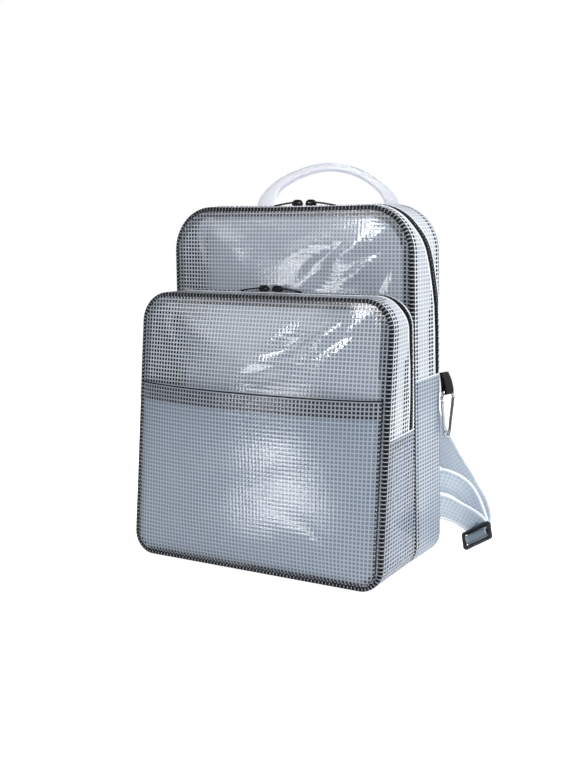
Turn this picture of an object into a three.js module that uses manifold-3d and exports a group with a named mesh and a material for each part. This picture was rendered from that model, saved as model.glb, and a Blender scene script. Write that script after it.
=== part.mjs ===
// Antistatic tool backpack of clear thread-reinforced vinyl film, zipped shut and standing on its base.
// Millimetres. X runs across the bag, -Y is its front and +Z is up. The origin is on the floor under the
// middle of the main compartment.
import * as THREE from 'three';
import { mergeVertices } from 'three/addons/utils/BufferGeometryUtils.js';
import Module from 'manifold-3d';

const wasm = await Module();
wasm.setup();

// Sewn sheet goods
const film = 1.2; // film wall with its turned edge
const gap = 0.3; // clearance between sewn pieces
const tape = 0.6; // seam tape and zip tape
const bead = 3; // square corner that an edge binding fills

// Main compartment, seen from the front: width by height, with its depth behind the front panel
const main = {
  topWidth: 301, baseWidth: 308, height: 386.5, topRadius: 51, baseRadius: 26, topSag: 1, zipEnd: 205,
};
const mainDepth = 67;
const mainFront = -mainDepth / 2;
const mainBack = mainDepth / 2;
const mainFrontDome = 9;
const mainBackDome = 7;
const backPad = 5; // padded back panel

// Front pocket: a wedge, deeper at its base, sewn on the main front panel
const pocket = {
  topWidth: 312, baseWidth: 313, height: 294, topRadius: 33, baseRadius: 25, topSag: 0, zipEnd: 155,
};
const pocketSeat = { ...pocket, topWidth: 302, baseWidth: 307 };
const pocketTopDepth = 54;
const pocketBaseDepth = 87;
const pocketDome = 13;

// Slip pocket on the front pocket's lower part, with a taped hem along its mouth
const slip = {
  topWidth: 312.3, baseWidth: 313, height: 196, topRadius: 3, baseRadius: 25, topSag: 0, zipEnd: 98,
};
const slipStandoff = 2.4; // film lies this far off the panel, which leaves room for the hem tape
const slipSeam = { standoff: 0.35, width: 15, fullBelow: 144, noneAbove: 167 }; // side and base seams
const slipGape = 10; // further standoff in the middle of the mouth
const slipGapeStart = 0.35; // share of the pocket's height where it begins to gape
const hemHeight = 18;
const hemGap = 1.1; // the hem tape lies this far behind the film

// Long soft creases: middle, direction up from +X in degrees, length, half width, height
const mainCreases = [
  { x: 80, z: 345, angle: 28, length: 110, spread: 13, rise: 2.4 },
  { x: 40, z: 318, angle: 38, length: 120, spread: 12, rise: -1.8 },
  { x: -85, z: 350, angle: -30, length: 90, spread: 14, rise: 1.5 },
];
const pocketCreases = [
  { x: 85, z: 262, angle: 30, length: 110, spread: 13, rise: 2.6 },
  { x: 35, z: 238, angle: 36, length: 120, spread: 13, rise: -2.0 },
  { x: -80, z: 255, angle: -34, length: 90, spread: 15, rise: 1.6 },
];

// Zip fasteners. place is how far back the chain lies: 0 at the front seam, 1 at the back one.
const coil = { half: 2.5, proud: 1.0, inside: 0.5, tapeFront: 9, tapeRear: 0.8 };
const mainZipLine = [
  { height: 205, place: 0.9 },
  { height: 252, place: 0.9 },
  { height: 279, place: 0.87 },
  { height: 300, place: 0.79 },
  { height: 325, place: 0.67 },
  { height: 348, place: 0.5 },
  { height: 365, place: 0.37 },
  { height: 385, place: 0.33 },
];
const pocketZipLine = [
  { height: 155, place: 0.87 },
  { height: 222, place: 0.92 },
  { height: 262, place: 0.89 },
  { height: 294, place: 0.8 },
];
const zipSlider = {
  length: 13, width: 9, plate: 2, crownLength: 11, crownWidth: 3, post: 1.6, tunnel: 3.4, bar: 1.6,
};
const zipPull = {
  length: 31, rootHalf: 3.6, tipHalf: 2.4, windowHalf: 2.1, windowEnd: 7.3, shoulder: 3, end: 0.8,
  thickness: 1.6,
};
const pullDroop = 4; // degrees that a lying pull dips towards its tip
const zipSliders = [
  { name: 'main_zip_right', on: 'main', x: 18, turn: 0 },
  { name: 'main_zip_left', on: 'main', x: 1, turn: 180 },
  { name: 'pocket_zip_right', on: 'pocket', x: -3, turn: 0 },
  { name: 'pocket_zip_left', on: 'pocket', x: -20, turn: 180 },
];

// Carry handle, sewn behind the top of the back panel and leaning back: flat at its feet, folded double
// on the arch
const handleFoot = { y: 36.4, z: 374, lean: 0.24 };
const handleLine = [
  { x: -72, z: 374, width: 27, thickness: 2.4 },
  { x: -70, z: 390, width: 26, thickness: 2.6 },
  { x: -59, z: 407, width: 15, thickness: 4.4 },
  { x: -26, z: 421, width: 11, thickness: 5 },
  { x: 10, z: 427, width: 10.5, thickness: 5 },
  { x: 45, z: 421, width: 11, thickness: 5 },
  { x: 71, z: 409, width: 12, thickness: 4.4 },
  { x: 88, z: 394, width: 16, thickness: 2.8 },
  { x: 97, z: 374, width: 21, thickness: 2.4 },
];

// Shoulder straps, given for the right side: middle line, direction across the strap, width
const strapFilm = 1.6;
const strapWidth = 28;
const shoulderLine = [
  { x: 64, y: 36.8, z: 364, ax: 1, ay: 0, az: 0, width: 44 },
  { x: 66, y: 43, z: 346, ax: 1, ay: 0, az: 0, width: 44 },
  { x: 72, y: 66, z: 310, ax: 1, ay: -0.1, az: 0.1, width: 44 },
  { x: 88, y: 88, z: 240, ax: 0.95, ay: -0.25, az: 0.3, width: 42 },
  { x: 114, y: 88, z: 168, ax: 0.75, ay: -0.3, az: 0.55, width: 36 },
  { x: 142, y: 86, z: 106, ax: 0.5, ay: -0.25, az: 0.8, width: 31 },
  { x: 166, y: 92, z: 68, ax: 0.55, ay: -0.35, az: 0.6, width: 28 },
  { x: 180, y: 88, z: 40, ax: 0.8, ay: -0.2, az: 0.45, width: 28 },
  { x: 186, y: 75, z: 22, ax: 0.85, ay: 0, az: 0.52, width: 28 },
];

// Three-bar strap slider: its place and its axes along the bars and out of its face
const barSlider = { length: 38, height: 22, bar: 3.2, side: 3.5, thickness: 3.4, cornerRadius: 3 };
const barSliderAt = new THREE.Vector3(187, 58, 19);
const barSliderAlong = new THREE.Vector3(0.85, 0, 0.52).normalize();
const barSliderFace = new THREE.Vector3(-0.33, -0.76, 0.54).normalize();

// Lower strap: from the back panel, round the slider's middle bar and back. The middle rows are in the
// slider's own axes.
const lowerStart = [
  { x: 104, y: 37.4, z: 44, ax: 0.2, ay: 0.036, az: 1 },
  { x: 122, y: 44, z: 45, ax: 0.2, ay: 0, az: 1 },
  { x: 142, y: 58, z: 44, ax: 0.3, ay: 0, az: 0.9 },
  { x: 160, y: 70, z: 38, ax: 0.6, ay: 0, az: 0.7 },
];
const lowerThread = [
  { up: 14, out: -3.5 },
  { up: 8.5, out: -3.3 },
  { up: 4.8, out: 0 },
  { up: 2.4, out: 2.7 },
  { up: 0, out: 3.3 },
  { up: -2.4, out: 2.7 },
  { up: -4.8, out: 0 },
  { up: -4.6, out: -4 },
  { up: 0, out: -6.6 },
  { up: 12, out: -7.6 },
];
const lowerReturn = [
  { x: 162, y: 78, z: 61, ax: 0.55, ay: 0.1, az: 0.75 },
  { x: 142, y: 66, z: 76, ax: 0.3, ay: 0, az: 0.95 },
  { x: 122, y: 49, z: 76, ax: 0.1, ay: 0, az: 1 },
  { x: 104, y: 38.1, z: 76, ax: 0, ay: 0.025, az: 1 },
];

// Side fitting: a webbing loop in the right back seam and the wire carabiner that hangs in it
const carabinerAt = new THREE.Vector3(159.4, 36.5, 159);
const carabinerTurn = 75; // degrees from +X to the direction of the carabiner's plane
const wireRadius = 1.8;
const carabinerLine = [
  { out: -9.4, up: 16.6 },
  { out: -9.2, up: 20.5 },
  { out: -6.2, up: 24.6 },
  { out: 0, up: 26.2 },
  { out: 6.4, up: 24.4 },
  { out: 9.9, up: 19 },
  { out: 9.4, up: 12 },
  { out: 6.4, up: -6 },
  { out: 3.7, up: -21.5 },
  { out: 0.2, up: -26 },
  { out: -3.4, up: -23.4 },
  { out: -4.4, up: -19.6 },
];
const gateRadius = 1.4;
const gateFoot = { out: -4.6, up: -18.6 };
const gateTip = { out: -9.3, up: 15.9 };
const tabPivot = 25.6; // height of the loop's middle on the carabiner
const tabWidth = 10;
const tabWebbing = 1.3;
const tabLoop = 3.6; // radius to the middle of the webbing
const tabRise = 20; // length from the loop's middle to the seam
const tabInset = 4.6; // how far the seam lies towards the bag
const tabWaist = 0.6; // how far its middle leans towards the bag

// Finishes
const clearFilm = { color: 0xc3d0dd, roughness: 0.22, metalness: 0, transparent: true, opacity: 0.55 };
const strapFilmFinish = { color: 0xcfdbe8, roughness: 0.35, metalness: 0 };
const padFilm = { color: 0xb9c6d4, roughness: 0.5, metalness: 0 };
const blackTape = { color: 0x17181c, roughness: 0.75, metalness: 0 };
const blackNylon = { color: 0x121316, roughness: 0.45, metalness: 0 };
const blackLacquer = { color: 0x101114, roughness: 0.3, metalness: 0.6 };
const blackAcetal = { color: 0x1b1c20, roughness: 0.4, metalness: 0 };
const brightSteel = { color: 0xc9ccd0, roughness: 0.2, metalness: 1 };

const bag = new THREE.Group();

function addPiece(name, geometry, finish, parent = bag) {
  const mesh = new THREE.Mesh(geometry, new THREE.MeshStandardMaterial(finish));
  mesh.name = name;
  parent.add(mesh);
  return mesh;
}

// A closed solid through a row of sections with equal numbers of points. A section's points are paired
// first with last, so that its ends close in quads. A loop has no ends.
function loft(sections, loop = false) {
  const count = sections[0].length;
  const rows = loop ? sections.length : sections.length - 1;
  const faces = [];
  for (let row = 0; row < rows; row++) {
    const here = row * count;
    const next = ((row + 1) % sections.length) * count;
    for (let i = 0; i < count; i++) {
      const j = (i + 1) % count;
      faces.push(here + i, here + j, next + j, here + i, next + j, next + i);
    }
  }
  if (!loop) {
    const last = (sections.length - 1) * count;
    for (let i = 0; i < count / 2 - 1; i++) {
      const far = count - 1 - i;
      faces.push(i, far, far - 1, i, far - 1, i + 1);
      faces.push(last + i, last + far - 1, last + far, last + i, last + i + 1, last + far - 1);
    }
  }
  const points = sections.flat();
  if (signedVolume(points, faces) < 0) {
    faces.reverse();
  }
  const geometry = new THREE.BufferGeometry().setFromPoints(points);
  geometry.setIndex(faces);
  geometry.computeVertexNormals();
  return geometry;
}

function signedVolume(points, faces) {
  let volume = 0;
  for (let i = 0; i < faces.length; i += 3) {
    const [a, b, c] = [points[faces[i]], points[faces[i + 1]], points[faces[i + 2]]];
    volume += a.dot(b.clone().cross(c)) / 6;
  }
  return volume;
}

function solidOf(geometry) {
  const bare = geometry.clone();
  bare.deleteAttribute('normal');
  bare.deleteAttribute('uv');
  const merged = mergeVertices(bare, 1e-4);
  return new wasm.Manifold(new wasm.Mesh({
    numProp: 3,
    vertProperties: merged.attributes.position.array,
    triVerts: merged.index.array,
  }));
}

function geometryOf(solid) {
  const { vertProperties, triVerts } = solid.getMesh();
  const geometry = new THREE.BufferGeometry();
  geometry.setAttribute('position', new THREE.BufferAttribute(vertProperties, 3));
  geometry.setIndex(new THREE.BufferAttribute(triVerts, 1));
  geometry.computeVertexNormals();
  return geometry;
}

// Upright outlines: a round-cornered frame drawn from the middle of its base, round by +X and back.
// The sides have a point at the height where the zip ends.
const steps = { base: 2, corner: 4, lowerSide: 2, upperSide: 4, top: 3 };
const zipStation = steps.base + steps.corner + steps.lowerSide;
const topStation = zipStation + steps.upperSide + steps.corner + steps.top;
const stations = 2 * topStation;

function halfOutline(shape, inset) {
  const top = shape.height - inset;
  const topHalf = shape.topWidth / 2 - inset;
  const baseHalf = shape.baseWidth / 2 - inset;
  const topRadius = Math.max(shape.topRadius - inset, 0.6);
  const baseRadius = Math.max(shape.baseRadius - inset, 0.6);
  const points = [];
  const straight = (x0, z0, x1, z1, count) => {
    for (let k = 0; k < count; k++) {
      points.push(new THREE.Vector2(x0 + ((x1 - x0) * k) / count, z0 + ((z1 - z0) * k) / count));
    }
  };
  const corner = (x, z, radius, start) => {
    for (let k = 0; k < steps.corner; k++) {
      const angle = start + ((Math.PI / 2) * k) / steps.corner;
      points.push(new THREE.Vector2(x + radius * Math.cos(angle), z + radius * Math.sin(angle)));
    }
  };
  const sideStart = inset + baseRadius;
  const sideEnd = top - topRadius;
  const share = (shape.zipEnd - sideStart) / (sideEnd - sideStart);
  const zipHalf = baseHalf + (topHalf - baseHalf) * share;
  straight(0, inset, baseHalf - baseRadius, inset, steps.base);
  corner(baseHalf - baseRadius, sideStart, baseRadius, -Math.PI / 2);
  straight(baseHalf, sideStart, zipHalf, shape.zipEnd, steps.lowerSide);
  straight(zipHalf, shape.zipEnd, topHalf, sideEnd, steps.upperSide);
  corner(topHalf - topRadius, sideEnd, topRadius, 0);
  const topRun = topHalf - topRadius;
  for (let k = 0; k <= steps.top; k++) {
    const x = topRun * (1 - k / steps.top);
    points.push(new THREE.Vector2(x, top - shape.topSag * (1 - (x / topRun) ** 2)));
  }
  return points;
}

function outline(shape, inset = 0) {
  const half = halfOutline(shape, inset);
  const mirrored = half.slice(1, -1).reverse().map((p) => new THREE.Vector2(-p.x, p.y));
  return [...half, ...mirrored];
}

// How far a panel stands proud of its frame: a soft dome with creases across it
const domePower = 2.4; // flatter in the middle than a parabola

function dome(shape, height, x, z) {
  const half = Math.max(shape.topWidth, shape.baseWidth) / 2;
  const middle = shape.height / 2;
  const across = Math.max(0, 1 - Math.abs(x / half) ** domePower);
  const upright = Math.max(0, 1 - Math.abs((z - middle) / middle) ** domePower);
  return height * across * upright;
}

function creased(creases, x, z) {
  let rise = 0;
  for (const crease of creases) {
    const angle = THREE.MathUtils.degToRad(crease.angle);
    const along = (x - crease.x) * Math.cos(angle) + (z - crease.z) * Math.sin(angle);
    const aside = (z - crease.z) * Math.cos(angle) - (x - crease.x) * Math.sin(angle);
    const reach = Math.max(0, 1 - (2 * along / crease.length) ** 2);
    rise += crease.rise * reach ** 2 * Math.exp(-((aside / crease.spread) ** 2));
  }
  return rise;
}

function mainFrontFace(x, z) {
  const swell = dome(main, mainFrontDome, x, z);
  return mainFront - swell - creased(mainCreases, x, z) * Math.min(1, swell / 3);
}

function pocketPlane(z) {
  return mainFront - pocketBaseDepth + (pocketBaseDepth - pocketTopDepth) * (z / pocket.height);
}

function pocketFrontFace(x, z) {
  const swell = dome(pocket, pocketDome, x, z);
  return pocketPlane(z) - swell - creased(pocketCreases, x, z) * Math.min(1, swell / 3);
}

function slipRise(x, z) {
  const mouth = THREE.MathUtils.smoothstep(z, slipGapeStart * slip.height, slip.height);
  const across = Math.max(0, 1 - (2 * x / slip.topWidth) ** 2);
  const half = THREE.MathUtils.lerp(slip.baseWidth, slip.topWidth, z / slip.height) / 2 - bead;
  const inward = Math.min(half - Math.abs(x), z - bead);
  const near = THREE.MathUtils.clamp(1 - inward / slipSeam.width, 0, 1);
  const ending = THREE.MathUtils.mapLinear(z, slipSeam.noneAbove, slipSeam.fullBelow, 0, 1);
  const held = near * THREE.MathUtils.clamp(ending, 0, 1);
  return THREE.MathUtils.lerp(slipStandoff, slipSeam.standoff, held) + slipGape * mouth * across;
}

function slipFace(x, z) {
  return pocketFrontFace(x, z) - slipRise(x, z) - film;
}

// A thin sheet whose outer face is given over x and z, in rings from its middle to its rim
const rings = [0.07, 0.25, 0.43, 0.6, 0.76, 0.9, 1];

function sheet(rim, face, thickness) {
  const heights = rim.map((p) => p.y);
  const middle = (Math.min(...heights) + Math.max(...heights)) / 2;
  const ringAt = (share, depth) => rim.map((p) => {
    const x = p.x * share;
    const z = middle + (p.y - middle) * share;
    return new THREE.Vector3(x, face(x, z) + depth, z);
  });
  const outer = rings.map((share) => ringAt(share, 0));
  const inner = rings.map((share) => ringAt(share, thickness)).reverse();
  return loft([...outer, ...inner]);
}

// Points on the side walls: station round the outline, place from the front seam (0) to the rear (1), inset
function mainSide(station, place, inset) {
  const p = outline(main, inset)[station % stations];
  return new THREE.Vector3(p.x, mainFront + mainDepth * place, p.y);
}

function pocketSide(station, place, inset) {
  const front = outline(pocket, inset)[station % stations];
  const rear = outline(pocketSeat, inset)[station % stations];
  const start = new THREE.Vector3(front.x, pocketPlane(front.y), front.y);
  const seat = new THREE.Vector3(rear.x, mainFront - dome(main, mainFrontDome, rear.x, rear.y), rear.y);
  return start.lerp(seat, place);
}

function wallDepth(side, station) {
  return Math.abs(side(station, 1, 0).y - side(station, 0, 0).y);
}

function zipPlace(line, height) {
  const at = Math.min(Math.max(height, line[0].height), line[line.length - 1].height);
  const next = Math.max(1, line.findIndex((row) => row.height >= at));
  const [low, high] = [line[next - 1], line[next]];
  return THREE.MathUtils.mapLinear(at, low.height, high.height, low.place, high.place);
}

// A run of side wall between two places, drawn back from its ends by half the sewing gap
function sideBand(side, from, to, startPlace, endPlace, endShift) {
  const sections = [];
  for (let station = from; station <= to; station++) {
    const start = startPlace(station);
    const end = endPlace(station);
    const section = [
      side(station, start, 0),
      side(station, end, 0),
      side(station, end, film),
      side(station, start, film),
    ];
    if (station === from || station === to) {
      section.forEach((p) => { p.z += endShift; });
    }
    sections.push(section);
  }
  return loft(sections);
}

// Zip chain with its tapes behind the film
function zipChain(side, line, from, to) {
  const inner = film + gap;
  const sections = [];
  for (let station = from; station <= to; station++) {
    const depth = wallDepth(side, station);
    const centre = zipPlace(line, side(station, 0.5, 0).z);
    const at = (offset, inset) => side(station, centre + offset / depth, inset);
    const section = [
      at(-coil.half - coil.tapeFront, inner),
      at(-coil.half, inner),
      at(-coil.half, -coil.proud),
      at(coil.half, -coil.proud),
      at(coil.half, inner),
      at(coil.half + coil.tapeRear, inner),
      at(coil.half + coil.tapeRear, inner + tape),
      at(coil.half, inner + tape),
      at(coil.half, inner + tape + coil.inside),
      at(-coil.half, inner + tape + coil.inside),
      at(-coil.half, inner + tape),
      at(-coil.half - coil.tapeFront, inner + tape),
    ];
    if (station === from || station === to) {
      section.forEach((p) => { p.z += gap; });
    }
    sections.push(section);
  }
  return loft(sections);
}

// Edge bindings: a folded edge in the corner where panel and side wall meet. A taped one has flanges behind
// both. in is the distance in from the outline, back the distance behind the panel's face.
const edge = 0.2;
const chamfer = 0.9;
const fold = 1.4; // thickness of a plain binding's folded edge
const panelTape = 12.5; // reach of the seam tape behind the panel
const wallTape = 8; // and behind the side wall
const turned = bead - gap;
const lean = 0.7; // the side flange leans in as the pocket's wall does
const tapedBinding = [
  { in: edge, back: turned },
  { in: edge, back: chamfer },
  { in: chamfer, back: edge },
  { in: turned, back: edge },
  { in: turned, back: film + gap },
  { in: panelTape, back: film + gap },
  { in: panelTape, back: film + gap + tape },
  { in: film + gap + tape, back: film + gap + tape },
  { in: film + gap + tape + lean, back: wallTape },
  { in: film + gap + lean, back: wallTape },
  { in: film + gap, back: turned },
];
const plainBinding = [
  { in: edge, back: turned },
  { in: edge, back: chamfer },
  { in: chamfer, back: edge },
  { in: turned, back: edge },
  { in: turned, back: fold },
  { in: fold, back: turned },
];

function binding(shape, profile, depthAt) {
  const outlines = profile.map((corner) => outline(shape, corner.in));
  const sections = [];
  for (let station = 0; station < stations; station++) {
    sections.push(profile.map((corner, k) => {
      const p = outlines[k][station];
      return new THREE.Vector3(p.x, depthAt(p.y, corner.back), p.y);
    }));
  }
  return loft(sections, true);
}

function addMainCompartment() {
  const rim = outline(main, bead);
  const frontPlace = () => bead / mainDepth;
  const backPlace = () => 1 - bead / mainDepth;
  const beside = (sign) => (station) => {
    const centre = zipPlace(mainZipLine, mainSide(station, 0, 0).z);
    return centre + (sign * (coil.half + gap)) / mainDepth;
  };
  const [right, left] = [zipStation, stations - zipStation];
  addPiece('main_front_panel', sheet(rim, mainFrontFace, film), clearFilm);
  const backFace = (x, z) => mainBack + dome(main, mainBackDome, x, z) - backPad;
  addPiece('main_back_panel', sheet(rim, backFace, backPad), padFilm);
  const front = sideBand(mainSide, right, left, frontPlace, beside(-1), gap / 2);
  const rear = sideBand(mainSide, right, left, beside(1), backPlace, gap / 2);
  const base = sideBand(mainSide, left, stations + right, frontPlace, backPlace, -gap / 2);
  addPiece('main_zip_band_front', front, clearFilm);
  addPiece('main_zip_band_rear', rear, clearFilm);
  addPiece('main_base_band', base, clearFilm);
  addPiece('main_zip_chain', zipChain(mainSide, mainZipLine, right, left), blackNylon);
  addPiece('main_front_binding', binding(main, tapedBinding, (z, back) => mainFront + back), blackTape);
  addPiece('main_back_binding', binding(main, plainBinding, (z, back) => mainBack - back), blackTape);
}

function addPocket() {
  const frontPlace = (station) => bead / wallDepth(pocketSide, station);
  const seatPlace = (station) => 1 - gap / wallDepth(pocketSide, station);
  const beside = (sign) => (station) => {
    const centre = zipPlace(pocketZipLine, pocketSide(station, 0.5, 0).z);
    return centre + (sign * (coil.half + gap)) / wallDepth(pocketSide, station);
  };
  const [right, left] = [zipStation, stations - zipStation];
  const front = sideBand(pocketSide, right, left, frontPlace, beside(-1), gap / 2);
  const rear = sideBand(pocketSide, right, left, beside(1), seatPlace, gap / 2);
  const base = sideBand(pocketSide, left, stations + right, frontPlace, seatPlace, -gap / 2);
  addPiece('pocket_front_panel', sheet(outline(pocket, bead), pocketFrontFace, film), clearFilm);
  addPiece('pocket_zip_band_front', front, clearFilm);
  addPiece('pocket_zip_band_rear', rear, clearFilm);
  addPiece('pocket_base_band', base, clearFilm);
  addPiece('pocket_zip_chain', zipChain(pocketSide, pocketZipLine, right, left), blackNylon);
  const seam = binding(pocket, tapedBinding, (z, back) => pocketPlane(z) + back);
  addPiece('pocket_front_binding', seam, blackTape);
}

function addSlipPocket() {
  addPiece('slip_pocket_panel', sheet(outline(slip, bead), slipFace, film), clearFilm);
  const columns = 14;
  const half = slip.topWidth / 2 - bead - gap;
  const top = slip.height - bead + gap;
  const low = top - hemHeight;
  const sections = [];
  for (let k = 0; k <= columns; k++) {
    const x = half * (2 * k / columns - 1);
    const inner = (z) => slipFace(x, Math.min(z, top)) + film + hemGap;
    const front = inner(top) - film - hemGap;
    const middle = top + film / 2;
    sections.push([
      new THREE.Vector3(x, inner(low), low),
      new THREE.Vector3(x, inner(top), top),
      new THREE.Vector3(x, front, top),
      new THREE.Vector3(x, front, top + film),
      new THREE.Vector3(x, inner(top) + tape, top + film),
      new THREE.Vector3(x, inner(top) + tape, middle),
      new THREE.Vector3(x, inner(top) + tape, top),
      new THREE.Vector3(x, inner(low) + tape, low),
    ]);
  }
  addPiece('slip_pocket_hem', loft(sections), blackTape);
}

// Zip slider: a plate over the coil with a crown that the pull hangs in. Local X runs along the zip and Z
// out of it.
function sliderGeometry() {
  const { length, width, plate, crownLength, crownWidth, post, tunnel, bar } = zipSlider;
  const bottom = coil.proud + gap;
  const top = bottom + plate;
  const base = new THREE.BoxGeometry(length, width, plate);
  base.translate(0, 0, bottom + plate / 2);
  const sunk = 0.4; // the crown's posts run this far into the plate
  const arch = new THREE.Shape();
  const inner = crownLength / 2 - post;
  arch.moveTo(-crownLength / 2, top - sunk);
  arch.lineTo(-inner, top - sunk);
  arch.lineTo(-inner, top + tunnel);
  arch.lineTo(inner, top + tunnel);
  arch.lineTo(inner, top - sunk);
  arch.lineTo(crownLength / 2, top - sunk);
  arch.lineTo(crownLength / 2, top + tunnel);
  arch.lineTo(crownLength / 2 - bar, top + tunnel + bar);
  arch.lineTo(bar - crownLength / 2, top + tunnel + bar);
  arch.lineTo(-crownLength / 2, top + tunnel);
  const crown = new THREE.ExtrudeGeometry(arch, { depth: crownWidth, bevelEnabled: false });
  crown.rotateX(Math.PI / 2);
  crown.translate(0, crownWidth / 2, 0);
  return geometryOf(solidOf(base).add(solidOf(crown)));
}

function pullGeometry() {
  const { length, rootHalf, tipHalf, windowHalf, windowEnd, shoulder, end, thickness } = zipPull;
  const plan = new THREE.Shape();
  plan.moveTo(-end, -rootHalf);
  plan.lineTo(windowEnd + shoulder, -rootHalf);
  plan.lineTo(length - tipHalf, -tipHalf);
  plan.absarc(length - tipHalf, 0, tipHalf, -Math.PI / 2, Math.PI / 2, false);
  plan.lineTo(windowEnd + shoulder, rootHalf);
  plan.lineTo(-end, rootHalf);
  const window = new THREE.Path();
  window.moveTo(end, -windowHalf);
  window.lineTo(end, windowHalf);
  window.lineTo(windowEnd, windowHalf);
  window.lineTo(windowEnd, -windowHalf);
  plan.holes.push(window);
  const pull = new THREE.ExtrudeGeometry(plan, { depth: thickness, bevelEnabled: false, curveSegments: 5 });
  pull.translate(0, 0, -thickness / 2);
  return pull;
}

function addZipSliders() {
  const shapes = { main, pocket };
  const seats = {
    main: mainSide(topStation, zipPlace(mainZipLine, main.height), 0),
    pocket: pocketSide(topStation, zipPlace(pocketZipLine, pocket.height), 0),
  };
  for (const slider of zipSliders) {
    const group = new THREE.Group();
    group.position.set(slider.x, seats[slider.on].y, topEdge(shapes[slider.on], slider.x));
    group.rotation.z = THREE.MathUtils.degToRad(slider.turn);
    addPiece(`${slider.name}_slider`, sliderGeometry(), blackLacquer, group);
    const pull = addPiece(`${slider.name}_pull`, pullGeometry(), blackLacquer, group);
    pull.position.z = coil.proud + gap + zipSlider.plate + zipSlider.tunnel / 2;
    pull.rotation.y = THREE.MathUtils.degToRad(pullDroop);
    bag.add(group);
  }
}

function topEdge(shape, x) {
  const run = shape.topWidth / 2 - shape.topRadius;
  return shape.height - shape.topSag * (1 - (x / run) ** 2);
}

// Sections along each band
const sectionCount = { handle: 26, shoulder: 28, lower: 56, wire: 34, tab: 30 };

// A flat band through rows of middle points, with its width across them
function bandSection(middle, tangent, across, width, thickness) {
  const side = across.clone().addScaledVector(tangent, -across.dot(tangent)).normalize();
  const out = tangent.clone().cross(side).normalize();
  const corner = (s, o) => middle.clone()
    .addScaledVector(side, (s * width) / 2)
    .addScaledVector(out, (o * thickness) / 2);
  return [corner(-1, -1), corner(1, -1), corner(1, 1), corner(-1, 1)];
}

function band(rows, thickness, count) {
  const middles = new THREE.CatmullRomCurve3(rows.map((row) => row.at), false, 'centripetal');
  const acrosses = new THREE.CatmullRomCurve3(rows.map((row) => row.across), false, 'centripetal');
  const sections = [];
  for (let k = 0; k <= count; k++) {
    const u = k / count;
    const row = u * (rows.length - 1);
    const low = Math.min(Math.floor(row), rows.length - 2);
    const width = THREE.MathUtils.lerp(rows[low].width, rows[low + 1].width, row - low);
    sections.push(bandSection(
      middles.getPoint(u), middles.getTangent(u), acrosses.getPoint(u).normalize(), width, thickness,
    ));
  }
  return loft(sections);
}

function addHandle() {
  const rows = handleLine.map((row) => ({
    at: new THREE.Vector3(row.x, handleFoot.y + (row.z - handleFoot.z) * handleFoot.lean, row.z),
    size: new THREE.Vector2(row.width, row.thickness),
  }));
  const middles = new THREE.CatmullRomCurve3(rows.map((row) => row.at), false, 'centripetal');
  const sizes = new THREE.SplineCurve(rows.map((row) => row.size));
  const plane = new THREE.Vector3(0, 1, -handleFoot.lean).normalize();
  const corners = 8;
  const count = sectionCount.handle;
  const sections = [];
  for (let k = 0; k <= count; k++) {
    const middle = middles.getPoint(k / count);
    const size = sizes.getPoint(k / count);
    const across = middles.getTangent(k / count).cross(plane).normalize();
    const section = [];
    for (let i = 0; i < corners; i++) {
      const angle = ((i + 0.5) / corners) * 2 * Math.PI;
      section.push(middle.clone()
        .addScaledVector(across, (size.x / 2) * Math.cos(angle))
        .addScaledVector(plane, (size.y / 2) * Math.sin(angle)));
    }
    sections.push(section);
  }
  addPiece('carry_handle', loft(sections), strapFilmFinish);
}

function mirrored(vector, side) {
  return new THREE.Vector3(vector.x * side, vector.y, vector.z);
}

function strapRows(table, side) {
  return table.map((row) => ({
    at: new THREE.Vector3(row.x * side, row.y, row.z),
    across: new THREE.Vector3(row.ax * side, row.ay, row.az),
    width: row.width ?? strapWidth,
  }));
}

function threadRows(side) {
  const up = barSliderFace.clone().cross(barSliderAlong);
  return lowerThread.map((row) => ({
    at: mirrored(barSliderAt.clone()
      .addScaledVector(up, row.up)
      .addScaledVector(barSliderFace, row.out), side),
    across: mirrored(barSliderAlong, side),
    width: strapWidth,
  }));
}

function barSliderGeometry() {
  const { length, height, bar, side, thickness, cornerRadius } = barSlider;
  const [halfLength, halfHeight] = [length / 2, height / 2];
  const outer = [];
  const cornerSteps = 4;
  for (let quarter = 0; quarter < 4; quarter++) {
    const signX = quarter === 0 || quarter === 3 ? 1 : -1;
    const signY = quarter < 2 ? 1 : -1;
    for (let k = 0; k <= cornerSteps; k++) {
      const angle = (Math.PI / 2) * (quarter + k / cornerSteps);
      outer.push(new THREE.Vector2(
        signX * (halfLength - cornerRadius) + cornerRadius * Math.cos(angle),
        signY * (halfHeight - cornerRadius) + cornerRadius * Math.sin(angle),
      ));
    }
  }
  const plan = new THREE.Shape(outer);
  for (const sign of [-1, 1]) {
    const slot = new THREE.Path();
    const near = (sign * bar) / 2;
    const far = sign * (halfHeight - bar);
    slot.moveTo(side - halfLength, near);
    slot.lineTo(side - halfLength, far);
    slot.lineTo(halfLength - side, far);
    slot.lineTo(halfLength - side, near);
    plan.holes.push(slot);
  }
  const frame = new THREE.ExtrudeGeometry(plan, { depth: thickness, bevelEnabled: false });
  frame.translate(0, 0, -thickness / 2);
  return frame;
}

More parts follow.
